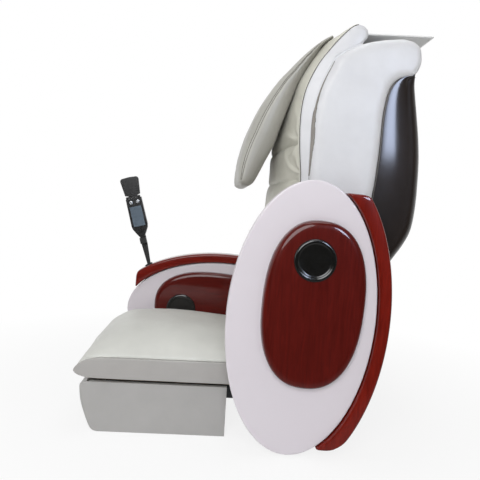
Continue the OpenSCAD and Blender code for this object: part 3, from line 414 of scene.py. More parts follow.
class Nodes:
    """A material's node tree with a Principled shader and short calls to add to it."""

    def __init__(self, name, **sockets):
        self.material = bpy.data.materials.new(name)
        self.material.use_nodes = True
        self.tree = self.material.node_tree
        self.shader = self.tree.nodes["Principled BSDF"]
        self.places = {}
        for socket, value in sockets.items():
            title = socket.replace("_", " ").title().replace("Ior", "IOR")
            self.shader.inputs[title].default_value = value

    def feed(self, socket, source):
        self.tree.links.new(source, self.shader.inputs[socket])

    def place(self, stretch):
        """The point on the object in metres, stretched, as a source of vectors."""
        if stretch not in self.places:
            where = add_node(self.tree, "TexCoord").outputs["Object"]
            self.places[stretch] = add_node(self.tree, "Mapping",
                                            {"Scale": stretch}, {"Vector": where}).outputs[0]
        return {"Vector": self.places[stretch]}

    def noise(self, scale, detail=3.0, roughness=0.5, distortion=0.0, stretch=(1, 1, 1)):
        sockets = {"Scale": scale, "Detail": detail, "Roughness": roughness,
                   "Distortion": distortion}
        return add_node(self.tree, "TexNoise", sockets,
                        self.place(stretch)).outputs["Fac"]

    def cells(self, scale, stretch=(1, 1, 1)):
        return add_node(self.tree, "TexVoronoi", {"Scale": scale},
                        self.place(stretch)).outputs["Distance"]

    def ramp(self, source, stops):
        node = add_node(self.tree, "ValToRGB", None, {"Fac": source})
        elements = node.color_ramp.elements
        while len(elements) < len(stops):
            elements.new(0.5)
        for element, (position, colour) in zip(elements, stops):
            element.position = position
            element.color = colour
        return node.outputs["Color"]

    def multiplied(self, factor, a, b):
        return add_node(self.tree, "Mix", {"Factor": factor}, {"A": a, "B": b},
                        data_type="RGBA", blend_type="MULTIPLY").outputs["Result"]

    def bumps(self, *layers):
        """A normal from layers of (height, strength, distance), each over the one before."""
        below = {}
        for height, strength, distance in layers:
            node = add_node(self.tree, "Bump",
                            {"Strength": strength, "Distance": distance},
                            {"Height": height, **below})
            below = {"Normal": node.outputs["Normal"]}
        self.feed("Normal", below["Normal"])

    def tint(self, source, colour, *stops):
        """Shades of one written colour along a value, each as (position, factor)."""
        self.feed("Base Color", self.ramp(
            source, [(at, shade(srgb(*colour), factor)) for at, factor in stops]))

    def rough(self, source, low, high):
        """Roughness from low to high, over the range where most of a noise lies."""
        self.feed("Roughness", mapped(self.tree, source, 0.3, 0.7, low, high))


def shade(colour, factor):
    return tuple(c * factor for c in colour[:3]) + (1.0,)


def grained(along, slow, fine):
    """The stretch of a noise that runs along one axis."""
    return tuple(slow if axis == along else fine for axis in "xyz")


def leather(name, colour, crease_depth=0.5, roughness=0.42):
    """Soft vinyl: fine pebbled grain, faint broad creases and a little wear in its tone."""
    n = Nodes(name, roughness=roughness, coat_weight=0.06, coat_roughness=0.35,
              sheen_weight=0.12, sheen_roughness=0.5)
    n.tint(n.noise(9, 4, 0.6), colour, (0.25, 0.93), (0.75, 1.04))
    pores = mapped(n.tree, n.cells(620), 0.05, 0.55, 0, 1)
    creases = n.noise(46, 5, 0.62, 0.6)
    n.rough(creases, roughness - 0.07, roughness + 0.09)
    n.bumps((creases, crease_depth, 0.0012), (pores, 0.28, 0.0003))
    return n.material


def lacquered_wood(name, dark, light, along):
    """Cherry-stained wood under gloss lacquer, its fine grain running along one direction."""
    n = Nodes(name, roughness=0.34, coat_weight=0.85, coat_roughness=0.07, coat_ior=1.42,
              specular_ior_level=0.12)
    figure = n.noise(3.0, 5, 0.6, 1.1, grained(along, 3, 34))
    pores = n.noise(1.6, 3, 0.7, stretch=grained(along, 7, 420))
    body = n.ramp(figure, [(0.3, srgb(*dark)), (0.7, srgb(*light))])
    streak = n.ramp(pores, [(0.38, shade(WHITE, 0.86)), (0.56, WHITE)])
    n.feed("Base Color", n.multiplied(0.55, body, streak))
    n.rough(figure, 0.28, 0.4)
    return n.material


def gloss_panel(name, colour):
    """White lacquered panel: a clear coat over a faint orange-peel and a breath of tint."""
    n = Nodes(name, roughness=0.3, coat_weight=0.55, coat_roughness=0.06)
    n.tint(n.noise(3.5), colour, (0.3, 0.992), (0.7, 1.006))
    n.rough(n.noise(14, 3), 0.28, 0.33)
    n.bumps((n.noise(210, 2), 0.035, 0.0004))
    return n.material


def moulded(name, colour, roughness, grain=900, depth=0.15, coat=0.0):
    """Injection-moulded plastic with a spark-eroded grain."""
    n = Nodes(name, roughness=roughness, coat_weight=coat, coat_roughness=0.1)
    n.tint(n.noise(22, 4), colour, (0.3, 0.9), (0.7, 1.08))
    n.rough(n.noise(60, 3), roughness - 0.05, roughness + 0.07)
    n.bumps((n.noise(grain, 2, 0.6), depth, 0.0003))
    return n.material


def pebbled_shell(name, colour):
    """Black-brown shell with a fine moulded hide grain and a satin shine."""
    n = Nodes(name, roughness=0.5, coat_weight=0.7, coat_roughness=0.13,
              specular_ior_level=0.15)
    n.tint(n.noise(5, 4, 0.55), colour, (0.3, 0.8), (0.72, 1.3))
    n.rough(n.noise(30, 4, 0.6), 0.42, 0.58)
    pebbles = mapped(n.tree, n.cells(380, (1, 1, 0.85)), 0, 0.6, 1, 0)
    n.bumps((n.noise(150, 4, 0.6, 0.8), 0.12, 0.0004), (n.noise(22, 4, 0.6), 0.42, 0.0012),
            (pebbles, 0.55, 0.0003))
    return n.material


def metal(name, colour, roughness, brush=None):
    """Steel or chrome; brush stretches its fine scratches along one axis."""
    n = Nodes(name, metallic=1.0, roughness=roughness)
    stretch = grained(brush, 8, 420) if brush else (60, 60, 60)
    lines = n.noise(1.0, 4, 0.6, stretch=stretch)
    n.tint(lines, colour, (0.3, 0.88), (0.7, 1.05))
    n.rough(lines, roughness - 0.06, roughness + 0.08)
    n.bumps((lines, 0.05, 0.0002))
    return n.material


def powder_coat(name, colour):
    """Baked paint over steel, with its fine orange-peel."""
    n = Nodes(name, roughness=0.5, specular_ior_level=0.45)
    n.tint(n.noise(18, 4), colour, (0.3, 0.85), (0.7, 1.15))
    n.rough(n.noise(40, 3), 0.42, 0.6)
    n.bumps((n.noise(700, 2), 0.25, 0.0004))
    return n.material


def plywood(name, colour):
    """Raw board with its grain along X."""
    n = Nodes(name, roughness=0.72)
    figure = n.noise(2.4, 6, 0.65, 1.0, (2, 26, 26))
    n.tint(figure, colour, (0.3, 0.72), (0.55, 1), (0.75, 1.12))
    n.rough(figure, 0.62, 0.82)
    n.bumps((figure, 0.3, 0.0005))
    return n.material


WHITE = (1, 1, 1, 1)
CHERRY = (98, 13, 2), (125, 21, 3)
POD_CHERRY = (76, 10, 4), (95, 14, 4)


def make_materials():
    """Each material by name, from its look and that look's values, colours as 0-255."""
    looks = {
        "ivory_panel": (gloss_panel, (222, 215, 221)),
        "cherry_rim": (lacquered_wood, *CHERRY, "z"),
        "cherry_rim_level": (lacquered_wood, *CHERRY, "y"),
        "cherry_pod": (lacquered_wood, *POD_CHERRY, "z"),
        "cherry_pod_level": (lacquered_wood, *POD_CHERRY, "y"),
        "black_disc": (moulded, (15, 15, 13), 0.16, 260, 0.03, 0.7),
        "core_board": (moulded, (52, 38, 32), 0.6),
        "bush_steel": (metal, (176, 178, 181), 0.32, "x"),
        "chrome_rod": (metal, (214, 216, 218), 0.12),
        "frame_steel": (powder_coat, (44, 45, 48)),
        "motor_case": (moulded, (62, 64, 68), 0.5),
        "nylon": (moulded, (226, 222, 210), 0.45),
        "rubber_glide": (moulded, (30, 30, 30), 0.75),
        "base_laminate": (leather, (177, 175, 173), 0.12, 0.4),
        "plywood": (plywood, (140, 116, 86)),
        "seat_vinyl": (leather, (212, 212, 206), 0.4),
        # A darker copy of the seat vinyl for the side panels: painted shade of the seat's
        # sides.
        "seat_side_shaded": (leather, (176, 173, 170), 0.3),
        "side_vinyl": (leather, (214, 214, 217), 0.12, 0.4),
        # A darker, olive copy of the side vinyl: painted shade on the pad's front.
        "pad_vinyl": (leather, (205, 203, 191), 0.6),
        # A darker copy of the side vinyl: painted shade on the head cushion.
        "head_vinyl": (leather, (172, 170, 162), 0.5),
        # A lighter copy of the side vinyl: painted light on the flap's shaded underside.
        "flap_hide_lit": (leather, (224, 224, 223), 0.2),
        "stitch": (moulded, (116, 113, 106), 0.8, 2400, 0.4),
        # The zip mouth's grey-brown: partly the tape's own colour, partly painted shade in the
        # gap.
        "zip_tape_and_shade": (moulded, (150, 145, 139), 0.85, 1400, 0.4),
        "seam_shadow": (moulded, (84, 80, 74), 0.9, 2400, 0.4),
        "shell_black": (pebbled_shell, (36, 28, 23)),
        "holder_black": (powder_coat, (38, 37, 36)),
        "handset_black": (moulded, (24, 23, 23), 0.3, 1500, 0.1, 0.2),
        "button_silver": (metal, (186, 188, 190), 0.28),
        "keypad_grey": (moulded, (92, 107, 121), 0.6, 1800, 0.12),
    }
    return {name: look(name, *values) for name, (look, *values) in looks.items()}


# ---- arms ----


def arm_points(level, side):
    """Points of a level arm (ahead, up, outward from the panel's middle), put in place."""
    p = np.asarray(level, float)
    raised = math.radians(ARM_RAISE[side])
    ahead, up = ARM_REACH + p[..., 0], ARM_RISE + p[..., 1]
    x = (ARM_MID_X + p[..., 2]) * side
    y = PIVOT_Y - ahead * math.cos(raised) + up * math.sin(raised)
    z = PIVOT_Z + ahead * math.sin(raised) + up * math.cos(raised)
    return np.stack([x, y, z], axis=-1)


def at_w(outline, w):
    return np.column_stack([outline, np.full(len(outline), float(w))])


def quarter(count):
    """Pairs (inset, rise) round a quarter turn, from the flank to the top."""
    t = np.linspace(0, math.pi / 2, count)
    return [(1 - math.cos(a), math.sin(a)) for a in t]


def panel_rings():
    """A flat oval board with a rounded outer edge."""
    rings = [at_w(oval(PANEL_HALF_L, PANEL_HALF_H, OVAL_POINTS), CORE_HALF_T)]
    for back, rise in quarter(7):
        back, rise = PANEL_EDGE_R * back, PANEL_EDGE_R * rise
        rings.append(at_w(oval(PANEL_HALF_L - back, PANEL_HALF_H - back, OVAL_POINTS),
                          PANEL_OUT_W - PANEL_EDGE_R + rise))
    rings.append(at_w(oval(PANEL_HALF_L - 9, PANEL_HALF_H - 9, OVAL_POINTS), PANEL_OUT_W))
    return np.array(rings)


def pod_rings():
    """A superellipse with a rolled edge: shares of its rise and how far it draws in."""
    profile = spline([(0, 0), (0.5, 1.5), (0.74, 4), (0.9, 8.5), (0.985, 16), (1, 26)], 5)
    foot = (-POD_SUNK / POD_RISE, 0)
    return np.array([at_w(oval(POD_HALF_L - back, POD_HALF_H - back, OVAL_POINTS, POD_POWER,
                               (POD_AHEAD, POD_ABOVE)), PANEL_OUT_W + POD_RISE * rise)
                     for rise, back in [foot, *profile]])


def disc_rings():
    """A shallow dish with a raised lip, from its foot over the lip to its middle."""
    lip = [(DISC_R, 2.2), (DISC_R * 0.955, 5.4), (DISC_R * 0.89, DISC_T), (DISC_R * 0.82, 5.6),
           (DISC_R * 0.75, 3.3), (DISC_R * 0.6, 2.6), (DISC_R * 0.3, 2.3), (0.5, 2.2)]
    middle = (DISC_AHEAD, DISC_ABOVE)
    return np.array([at_w(oval(r, r, DISC_POINTS, 2, middle), POD_OUT_W - DISC_SUNK + h)
                     for r, h in [(DISC_R, 0), *spline(lip, 4)]])


def rim_bottom(u):
    """The rim's inner edge at a place along the arm, just off the panel's oval."""
    return RIM_IN_H * math.sqrt(1 - (u / RIM_IN_L) ** 2)


def rim_top(u):
    """The rim's outer edge, which drops toward the inner one at its two ends."""
    full = RIM_HALF_H * math.sqrt(1 - (u / RIM_HALF_L) ** 2)
    low = rim_bottom(u)
    back = min(1, max(0, (-u - (RIM_BACK - RIM_BACK_DROP)) / RIM_BACK_DROP))
    front = min(1, max(0, (u - (RIM_FRONT - RIM_FRONT_DROP)) / RIM_FRONT_DROP))
    return low + (full - low) * (0.42 + 0.58 * math.sqrt(1 - back**2)) * (
        0.86 + 0.14 * math.sqrt(1 - front**2))


def rim_section(low, high, half_w, corner):
    """A rounded rectangle, counter-clockwise in (up, outward)."""
    top, foot, out = high - corner, low + corner, half_w - corner
    centres = ((top, out), (foot, out), (foot, -out), (top, -out))
    return [(up + corner * math.cos(a), side + corner * math.sin(a))
            for quadrant, (up, side) in enumerate(centres)
            for a in np.radians(90 * quadrant + np.linspace(0, 90, 6))]


def rim_rings():
    """The rim from its front end to its rear end, both rounded off."""
    turn = np.linspace(math.pi / 2, 0.2, 7)
    front = [(RIM_FRONT - RIM_END_R + RIM_END_R * math.sin(a), a) for a in turn]
    rear = [(-RIM_BACK + RIM_END_R - RIM_END_R * math.sin(a), a) for a in turn[::-1]]
    middle = [(u, 0) for u in np.linspace(RIM_FRONT - RIM_END_R, -RIM_BACK + RIM_END_R, 110)]
    rings = []
    for u, a in front + middle + rear:
        back = RIM_END_R * (1 - math.cos(a))
        low, high = rim_bottom(u) + back, rim_top(u) - back
        corner = min(RIM_CORNER_R, (high - low) * 0.48)
        rings.append([(u, up, out) for up, out in
                      rim_section(low, high, RIM_HALF_W - back, corner)])
    return np.array(rings)


def dress_arm(side):
    """Panels, pods, discs and rim of one arm, over its CAD solids."""
    body = "arm_" + SIDE_NAME[side]
    level = "" if side > 0 else "_level"
    inward = (1, 1, -1)
    panel, pod, disc = panel_rings(), pod_rings(), disc_rings()
    for name, node, rings, slot, grain in (
            ("outer_panel_skin", "outer_panel", panel, "ivory_panel", ""),
            ("inner_panel_skin", "inner_panel", panel * inward, "ivory_panel", ""),
            ("outer_pod_skin", "outer_pod", pod, "cherry_pod", level),
            ("inner_pod_skin", "inner_pod", pod * inward, "cherry_pod", level),
            ("rim_skin", "rim", rim_rings(), "cherry_rim", level),
            ("disc_outer", "discs", disc, "black_disc", ""),
            ("disc_inner", "discs", disc * inward, "black_disc", "")):
        piece = loft(f"{body}_{name}", arm_points(rings, side), slot + grain, body)
        stand_in(piece, slot, f"{body}_{node}")


# ---- base ----


def base_profile():
    """The front's side outline from under the seat to the deck, evenly spaced."""
    outline = [(18, BASE_H), (4.2, BASE_H - 7), (0, BASE_H - 16.8), (6, BASE_H * 0.54),
               (BASE_SLANT * 0.66, BASE_H * 0.08), (BASE_SLANT, 0)]
    return spaced(spline(outline, 8) + (-BASE_FRONT, 0), BASE_ROWS)


def dress_base():
    """One wrapped skin over the sides and the slanted front, with rounded corners."""
    wall, corner, edge = 14, 9, 2.2
    turn = [math.radians(a) for a in np.linspace(0, 90, 8)]
    rows = []
    for y, z in base_profile():
        right = [(BASE_HALF_W - corner + corner * math.sin(a),
                  y + corner - corner * math.cos(a), z) for a in turn]
        side = [(BASE_HALF_W, yy, z) for yy in np.linspace(y + corner, -BASE_REAR, 24)[1:]]
        across = [(x, y, z) for x in np.linspace(0, BASE_HALF_W - corner, 20)[:-1]]
        half = across + right + side
        rows.append([(-x, yy, zz) for x, yy, zz in half[:0:-1]] + half)
    piece = loft("base_skin", rows, "base_laminate", "chassis", closed=False)
    walled(piece, wall)
    bevel = piece.modifiers.new("edge", "BEVEL")
    bevel.width, bevel.segments, bevel.limit_method = edge * MM, 3, "ANGLE"
    baked(piece)
    stand_in(piece, "base_laminate", "base_sides", "base_front_panel")


# ---- soft parts ----


def padded_piece(piece, node, slot):
    """Hides the CAD node that a soft piece stands for."""
    stand_in(piece, slot, node)


def seat_outline(rise):
    """The seat's side outline, its top that far over the seam."""
    front, back, seam, low = -SEAT_FRONT, SEAT_BACK, SEAT_SEAM_Z, SEAT_BOTTOM
    outline = [(front + 70, low), (front * 0.3, low), (back - 24, low),
               (back - 4, low + 8), (back, seam - 18), (back - 14, seam + 2 + rise * 0.3),
               (back - 90, seam + 1 + rise * 0.72), (front * 0.45, seam + rise),
               (front * 0.76, seam - 1 + rise * 0.92), (front + 56, seam - 4 + rise * 0.58),
               (front + 22, seam - 14 + rise * 0.28), (front + 1, seam - 35),
               (front + 7, seam - 49), (front + 30, low + 3)]
    ring = spline(outline, 8, closed=True)
    ring[:, 1] = np.maximum(ring[:, 1], low)
    return ring


def seat_cushion():
    """The nosed seat, its seams drawn in and puckered, its top a little loose."""
    steps = 20
    rings = []
    for i in range(-steps, steps + 1):
        x = (SEAT_HALF_W - 2) * math.sin(math.pi / 2 * i / steps)
        k = 1 - abs(x / SEAT_HALF_W) ** 3.2
        edge = 4 * abs(i / steps) ** 14
        rings.append(at_x(inset(seat_outline(SEAT_CROWN * k), edge), x))
    piece = loft("seat_cushion_soft", rings, "seat_vinyl", "chassis")
    swollen(piece, 7, 4, 5, lambda p: smoothstep(SEAT_BOTTOM + 2, SEAT_BOTTOM + 26, p[:, 2]))
    p, n = points_of(piece), normals_of(piece)
    seam = seat_seam_line()
    for side in (1, -1):
        d = distance_to(p, seam * (side, 1, 1))
        p -= n * (SEAM_DEPTH * bell(d, 5.0))[:, None]
        pucker = noise_at(p[:, 1] / 26, p[:, 2] / 90, p[:, 0] / 60)
        p += n * (PUCKER_DEPTH * pucker * np.exp(-d / 26) * smoothstep(0, 6, d))[:, None]
    loose = noise_at(p[:, 0] / 70, p[:, 1] / 46, p[:, 2] / 40)
    p += n * (LOOSE_DEPTH * loose * smoothstep(150, 205, p[:, 2]))[:, None]
    p[:, 2] = np.maximum(p[:, 2], SEAT_BOTTOM)
    p[:, 0] = np.clip(p[:, 0], -SEAT_HALF_W + 1, SEAT_HALF_W - 1)
    set_points(piece, p)
    padded_piece(piece, "seat_cushion", "seat_vinyl")
    for side in (1, -1):
        seat_boxing(side)
    for side in (1, -1):
        tube(f"seat_welt_{SIDE_NAME[side]}", onto(piece, seam * (side, 1, 1), 0.3), 1.3,
             "seat_vinyl", "chassis")


def seat_boxing(side):
    """The seat's side panel, sewn in below the seam and curling at its nose, painted greyer for
    its shade.
    """
    outline = spaced(inset(seat_outline(0), 2.2), 220, closed=True)
    middle = (-SEAT_FRONT + SEAT_BACK) / 2, SEAT_BOTTOM + 28
    length = (SEAT_FRONT + SEAT_BACK) / 2

    def drawn_in(share):
        """The outline flattened toward its long middle line."""
        return middle + (outline - middle) * (1 - 30 * (1 - share) / length, share)

    rings = [at_x(outline, SEAT_HALF_W - 5), at_x(outline, SEAT_HALF_W - 0.6)]
    for share, out in ((0.99, 0.3), (0.95, 0.75), (0.87, 1.0), (0.7, 1.15), (0.4, 1.2),
                       (0.06, 1.2)):
        rings.append(at_x(drawn_in(share), SEAT_HALF_W + out))
    rings = np.array(rings)
    flat = rings.reshape(-1, 3)
    wave = noise_at(flat[:, 1] / 34, flat[:, 2] / 16, 0)
    flat[:, 0] += 0.7 * wave * smoothstep(SEAT_HALF_W - 1, SEAT_HALF_W + 1, flat[:, 0])
    # The side panel's greyer vinyl is painted shade: the same vinyl as the seat's top, darker.
    piece = loft(f"seat_boxing_{SIDE_NAME[side]}", rings * (side, 1, 1), "seat_side_shaded", "chassis")


def seat_seam_line():
    """The seam between the seat's top and its side boxing, on the left side."""
    outline = seat_outline(0)
    top = outline[outline[:, 1] > SEAT_BOTTOM + 3]
    start = np.argmax(top[:, 0])
    line = np.roll(top, -start, axis=0)
    return at_x(spaced(line, 260), SEAT_HALF_W - 4)


def side_bolster(side):
    """A side bolster with a rounded outer edge, and the zip that opens beside the pad."""
    outline = np.vstack([spline(BOLSTER_REAR, 4), spline(BOLSTER_FRONT, 4)[::-1]])
    ring = spaced(outline, 260, closed=True)
    inner, radius = BACK_HALF_W - BOLSTER_T, 15
    rings = [at_x(ring, inner), at_x(ring, BACK_HALF_W - radius)]
    for back, rise in quarter(8)[1:]:
        rings.append(at_x(inset(ring, radius * back * 0.9),
                          BACK_HALF_W - radius + radius * rise))
    rings = np.array(rings) * (side, 1, 1)
    name = "bolster_" + SIDE_NAME[side]
    piece = loft(name + "_soft", rings, "side_vinyl", "back")
    swollen(piece, 6, 4, 4, lambda p: smoothstep(inner + 20, BACK_HALF_W - 2,
                                                 np.abs(p[:, 0])))
    padded_piece(piece, name, "side_vinyl")
    zip_gap(piece, side)


def top_bolster():
    """The padding between the side bolsters' upper ends."""
    half = BACK_HALF_W - BOLSTER_T - SOFT_GAP
    steps, edge = 4, 3
    rear = spline(BOLSTER_REAR, steps)[steps * TOP_PAD_REAR:]
    front = spline(BOLSTER_FRONT, steps)[steps * TOP_PAD_FRONT:]
    ring = spaced(np.vstack([from_hinge(TOP_PAD_LOW), rear, front[::-1]]), 150, closed=True)
    rings = [at_x(inset(ring, edge), -half), at_x(ring, -half + edge),
             *[at_x(ring, x) for x in np.linspace(-half + 14, half - 14, 15)],
             at_x(ring, half - edge), at_x(inset(ring, edge), half)]
    piece = loft("top_bolster_soft", rings, "side_vinyl", "back")
    swollen(piece, 6, 4, 1.5, lambda p: smoothstep(half, half - 20, np.abs(p[:, 0])))
    padded_piece(piece, "top_bolster", "side_vinyl")


def pad_section(x):
    """The back pad's side outline at a distance from its middle, with its crown."""
    k = 1 - abs(x / PAD_HALF_W) ** 2.6
    z = np.linspace(41, 842, 190)
    rear = np.interp(z, *np.array(PAD_REAR).T)
    front = spline(PAD_FRONT, 8)
    front = np.interp(z, front[:, 0], front[:, 1])
    swell = PAD_CROWN * k * np.minimum(1, 0.35 + (842 - z) / 260) * np.minimum(
        1, 0.4 + (z - 41) / 90)
    return np.vstack([from_hinge(np.column_stack([rear, z])), spline(PAD_TOP, 3),
                      from_hinge(np.column_stack([front - swell, z]))[::-1]])


def channel_height(channel, x):
    """A sewn channel's height over the hinge: it droops from the side seams to the middle."""
    return channel + CHANNEL_DROOP * (np.abs(x) / PAD_HALF_W) ** 2


def pad_folds(p, facing):
    """How far the pad's front stands back at each point: channels, puckers and folds."""
    height, to_edge = p[:, 2] - HINGE_Z, np.maximum(PAD_HALF_W - np.abs(p[:, 0]), 0)
    inside, off_seam = smoothstep(0, 30, to_edge), smoothstep(0, 10, to_edge)
    sewn = np.interp(to_edge, (0, 30, 90, PAD_HALF_W), (0.35, 1, 0.8, 0.3))
    depth = np.zeros(len(p))
    for c in PAD_CHANNELS:
        d = np.abs(height - channel_height(c, p[:, 0]) - 1.2 * value_noise(p / 40))
        depth += (CHANNEL_D + 2) * sewn * (0.55 * bell(d, 4) + 0.45 * bell(d, 11))
        gather = noise_at(p[:, 0] / 12, c / 7.0, height / 70)
        depth += 1.2 * gather * np.exp(-d / 16) * inside
        up = height - channel_height(c, PAD_HALF_W) - 12
        reach, turn = np.hypot(to_edge, up), np.arctan2(up, to_edge)
        swing = 3.5 * turn + 1.3 * value_noise(p / 50) + 0.015 * c
        fold = FOLD_WAVE * np.sin(2 * swing) + FOLD_CREASE * bell(np.sin(swing), 0.3)
        depth += fold * np.exp(-reach / 44) * smoothstep(3, 18, reach) * smoothstep(
            0, 7, to_edge) * np.where(up > 0, 1, 0.75)
    broad = noise_at(height / 44 + 7, to_edge / 70, p[:, 0] / 300)
    depth += 1.8 * broad * np.exp(-to_edge / 60) * off_seam
    return depth * facing


def pad_meets_head(p, facing):
    """The pad's top swells up to the head cushion, which rests on it."""
    height = p[:, 2] - HINGE_Z
    lying = np.interp(height, *from_flat(HEAD_REAR)) + HEAD_REST_GAP
    share = smoothstep(690, 750, height) * smoothstep(858, 846, height) * facing
    share *= smoothstep(PAD_HALF_W - 2, HEAD_HALF_W - 30, np.abs(p[:, 0]))
    return np.where(p[:, 1] > lying, (p[:, 1] - lying) * share, 0)


def from_flat(line):
    """A row-frame (y, z) line as heights over the hinge and their y."""
    return line[:, 1] - HINGE_Z, line[:, 0]


def back_pad():
    """The pad that the sitter leans on, with its channels, folds and puffed top corners."""
    steps = 18
    stations = [(PAD_HALF_W - 2) * math.sin(math.pi / 2 * i / steps)
                for i in range(-steps, steps + 1)]
    rings = [at_x(pad_section(x), x) for x in stations]
    # pad_vinyl is the side vinyl made darker and olive: painted shade on the pad's front.
    piece = loft("back_pad_soft", rings, "pad_vinyl", "back")

    def freedom(p):
        ahead = np.interp(p[:, 2] - HINGE_Z, *np.array(PAD_REAR).T) + HINGE_Y - p[:, 1]
        return smoothstep(4, 24, ahead)

    swollen(piece, 6, 4, 3, freedom)
    p, n = points_of(piece), normals_of(piece)
    facing = smoothstep(0.25, 0.7, -n[:, 1])
    fuller = np.interp(p[:, 2] - HINGE_Z, *np.array(PAD_FULLER).T)
    p[:, 1] -= fuller * facing * (1 - (np.abs(p[:, 0]) / PAD_HALF_W) ** 2.6)
    p[:, 1] -= pad_meets_head(p, facing)
    p[:, 1] += pad_folds(p, facing)
    corner = smoothstep(HEAD_HALF_W - 26, HEAD_HALF_W - 12, np.abs(p[:, 0])) * smoothstep(
        HINGE_Z + 822, HINGE_Z + 862, p[:, 2])
    p += n * (CORNER_PUFF * corner * smoothstep(-0.2, 0.4, n[:, 2]))[:, None]
    p[:, 0] = np.clip(p[:, 0], -PAD_HALF_W + 0.5, PAD_HALF_W - 0.5)
    set_points(piece, p)
    padded_piece(piece, "back_pad", "pad_vinyl")
    for side in (1, -1):
        pad_boxing(side)


def pad_boxing(side):
    """The white strip round the pad's side, its bulge and the seam before it, a dark line of
    thread and painted shade.
    """
    name, count, across = SIDE_NAME[side], 180, np.linspace(0, 1, 9)
    front, rear = (
        spaced(spline(from_hinge(np.vstack([np.array(line)[:, ::-1], tip])), 6), count)
        for line, tip in ((PAD_FRONT, [(103, 866), (117, 877), (128, 882)]),
                          (PAD_REAR, [(150, 856), (147, 871), (137, 880)])))
    rings = []
    for k, (f, r) in enumerate(zip(front, rear)):
        r = r + BOXING_TUCK * (r - f) / max(np.linalg.norm(r - f), 1)
        wave = float(noise_at(f[1] / 24, 3.3, side * 2.0)[0])
        bulge = (4.2 + 1.0 * wave) * (1 if 3 < k < count - 3 else 0.4)
        lean = 9 * smoothstep(count - 4, count - 40, k)
        outer = [(PAD_HALF_W - 0.6 + bulge * math.sqrt(4 * t * (1 - t) + 0.02) + lean * t * t,
                  *(f + t * (r - f))) for t in across]
        inner = [(PAD_HALF_W - 5, *(f + t * (r - f))) for t in across[::-1]]
        rings.append(outer + inner)
    strip = loft(f"pad_boxing_{name}", np.array(rings) * (side, 1, 1), "side_vinyl", "back")
    line = at_x(front - (0, 0.6), PAD_HALF_W + 0.3) * (side, 1, 1)
    # A dark tube along the seam: partly the sewn line, partly painted shade in the seam.
    tube(f"pad_seam_shade_{name}", line, 1.0, "seam_shadow", "back")
    tube(f"pad_welt_{name}", line - (side * 1.6, 1.9, 0), 1.7, "pad_vinyl", "back")


def zip_gap(bolster, side):
    """The half-open mouth of the zip between the pad's side strip and the bolster, its tape
    coloured with the gap's painted shade.

    Its ragged front edge follows the strip, its rear edge is stitched, and a soft joint
    runs on above it.
    """
    name, count = SIDE_NAME[side], 120
    rear = spline(PAD_REAR, 6)

    def beside_strip(heights, out, behind):
        """Points along the strip's rear edge, that far outside and behind it."""
        foot = np.interp(heights - HINGE_Z, rear[:, 0], rear[:, 1]) + HINGE_Y
        columns = np.broadcast_arrays(PAD_HALF_W + out, foot + behind, heights)
        return np.column_stack(columns) * (side, 1, 1)

    heights = np.linspace(ZIP_LOW, ZIP_HIGH, count)
    share = (heights - ZIP_LOW) / (ZIP_HIGH - ZIP_LOW)
    ragged = noise_at(heights / 16, 4, 0)
    open_w = ZIP_OPEN * np.sin(math.pi * share ** 0.68) ** 0.9
    tops, lows = [], []
    for t in (0, 0.35, 0.7, 1):
        line = beside_strip(heights, 8 + 6 * t, 0.4 * ragged * (1 - t) + (0.2 + t) * open_w)
        tops.append(onto(bolster, line, 1.3 - 0.7 * t))
        lows.append(onto(bolster, line, -1.2))
    rings = [[row[k] for row in tops] + [row[k] for row in lows[::-1]] for k in range(count)]
    # The mouth's grey-brown sheet is partly the zip's tape and partly painted shade in the gap.
    piece = loft(f"zip_mouth_{name}", rings, "zip_tape_and_shade", "back")
    tube(f"zip_edge_{name}", tops[-1], 0.7, "stitch", "back")
    above = np.linspace(ZIP_HIGH - 130, HINGE_Z + 836, count)
    tube(f"pad_joint_{name}", onto(bolster, beside_strip(above, 8, 3), 0.6), 2.6,
         "side_vinyl", "back")


def head_section(share, back=0.0):
    """The head cushion's outline; back draws it in, for the crowned boxing at its sides."""
    k = 1 - abs(share) ** 3
    front = spaced(spline(HEAD_FRONT, 6), HEAD_SIDE_POINTS)[::-1]
    t = np.linspace(0, 1, len(front))
    front = front + HEAD_CROWN * k * np.sin(math.pi * t ** 1.15)[:, None] * (-0.84, 0.54)
    rear = spaced(spline(HEAD_REAR, 6), HEAD_SIDE_POINTS)
    middle = rear + HEAD_EDGE_SHARE * (front[::-1] - rear)
    low = np.clip(1 - np.arange(HEAD_SIDE_POINTS) / 12, 0, 1)[:, None] * (4, 11) * back
    keep = 1 - HEAD_DRAW * back
    rear, front = middle + (rear - middle) * keep + low, (
        middle[::-1] + (front - middle[::-1]) * keep + low[::-1])
    return np.vstack([rear, front])


def head_seams(piece):
    """Two sewn lines in shallow grooves just inside the front edge of each side's boxing."""
    front = spaced(spline(HEAD_FRONT, 6), 150)[3:-14]
    rear = spaced(spline(HEAD_REAR, 6), 150)[3:-14]
    lines = {}
    for side, name in SIDE_NAME.items():
        for number, share in enumerate((0.06, 0.2)):
            line = at_x(front + share * (rear - front), HEAD_HALF_W) * (side, 1, 1)
            lines[f"{name}_{number}"] = onto(piece, line)
    p, n = points_of(piece), normals_of(piece)
    for line in lines.values():
        p -= n * (1.3 * bell(distance_to(p, line), 3.2))[:, None]
    set_points(piece, p)
    for name, line in lines.items():
        tube(f"head_seam_{name}", onto(piece, line, 0.2), 0.75, "stitch",
             "head_cushion")


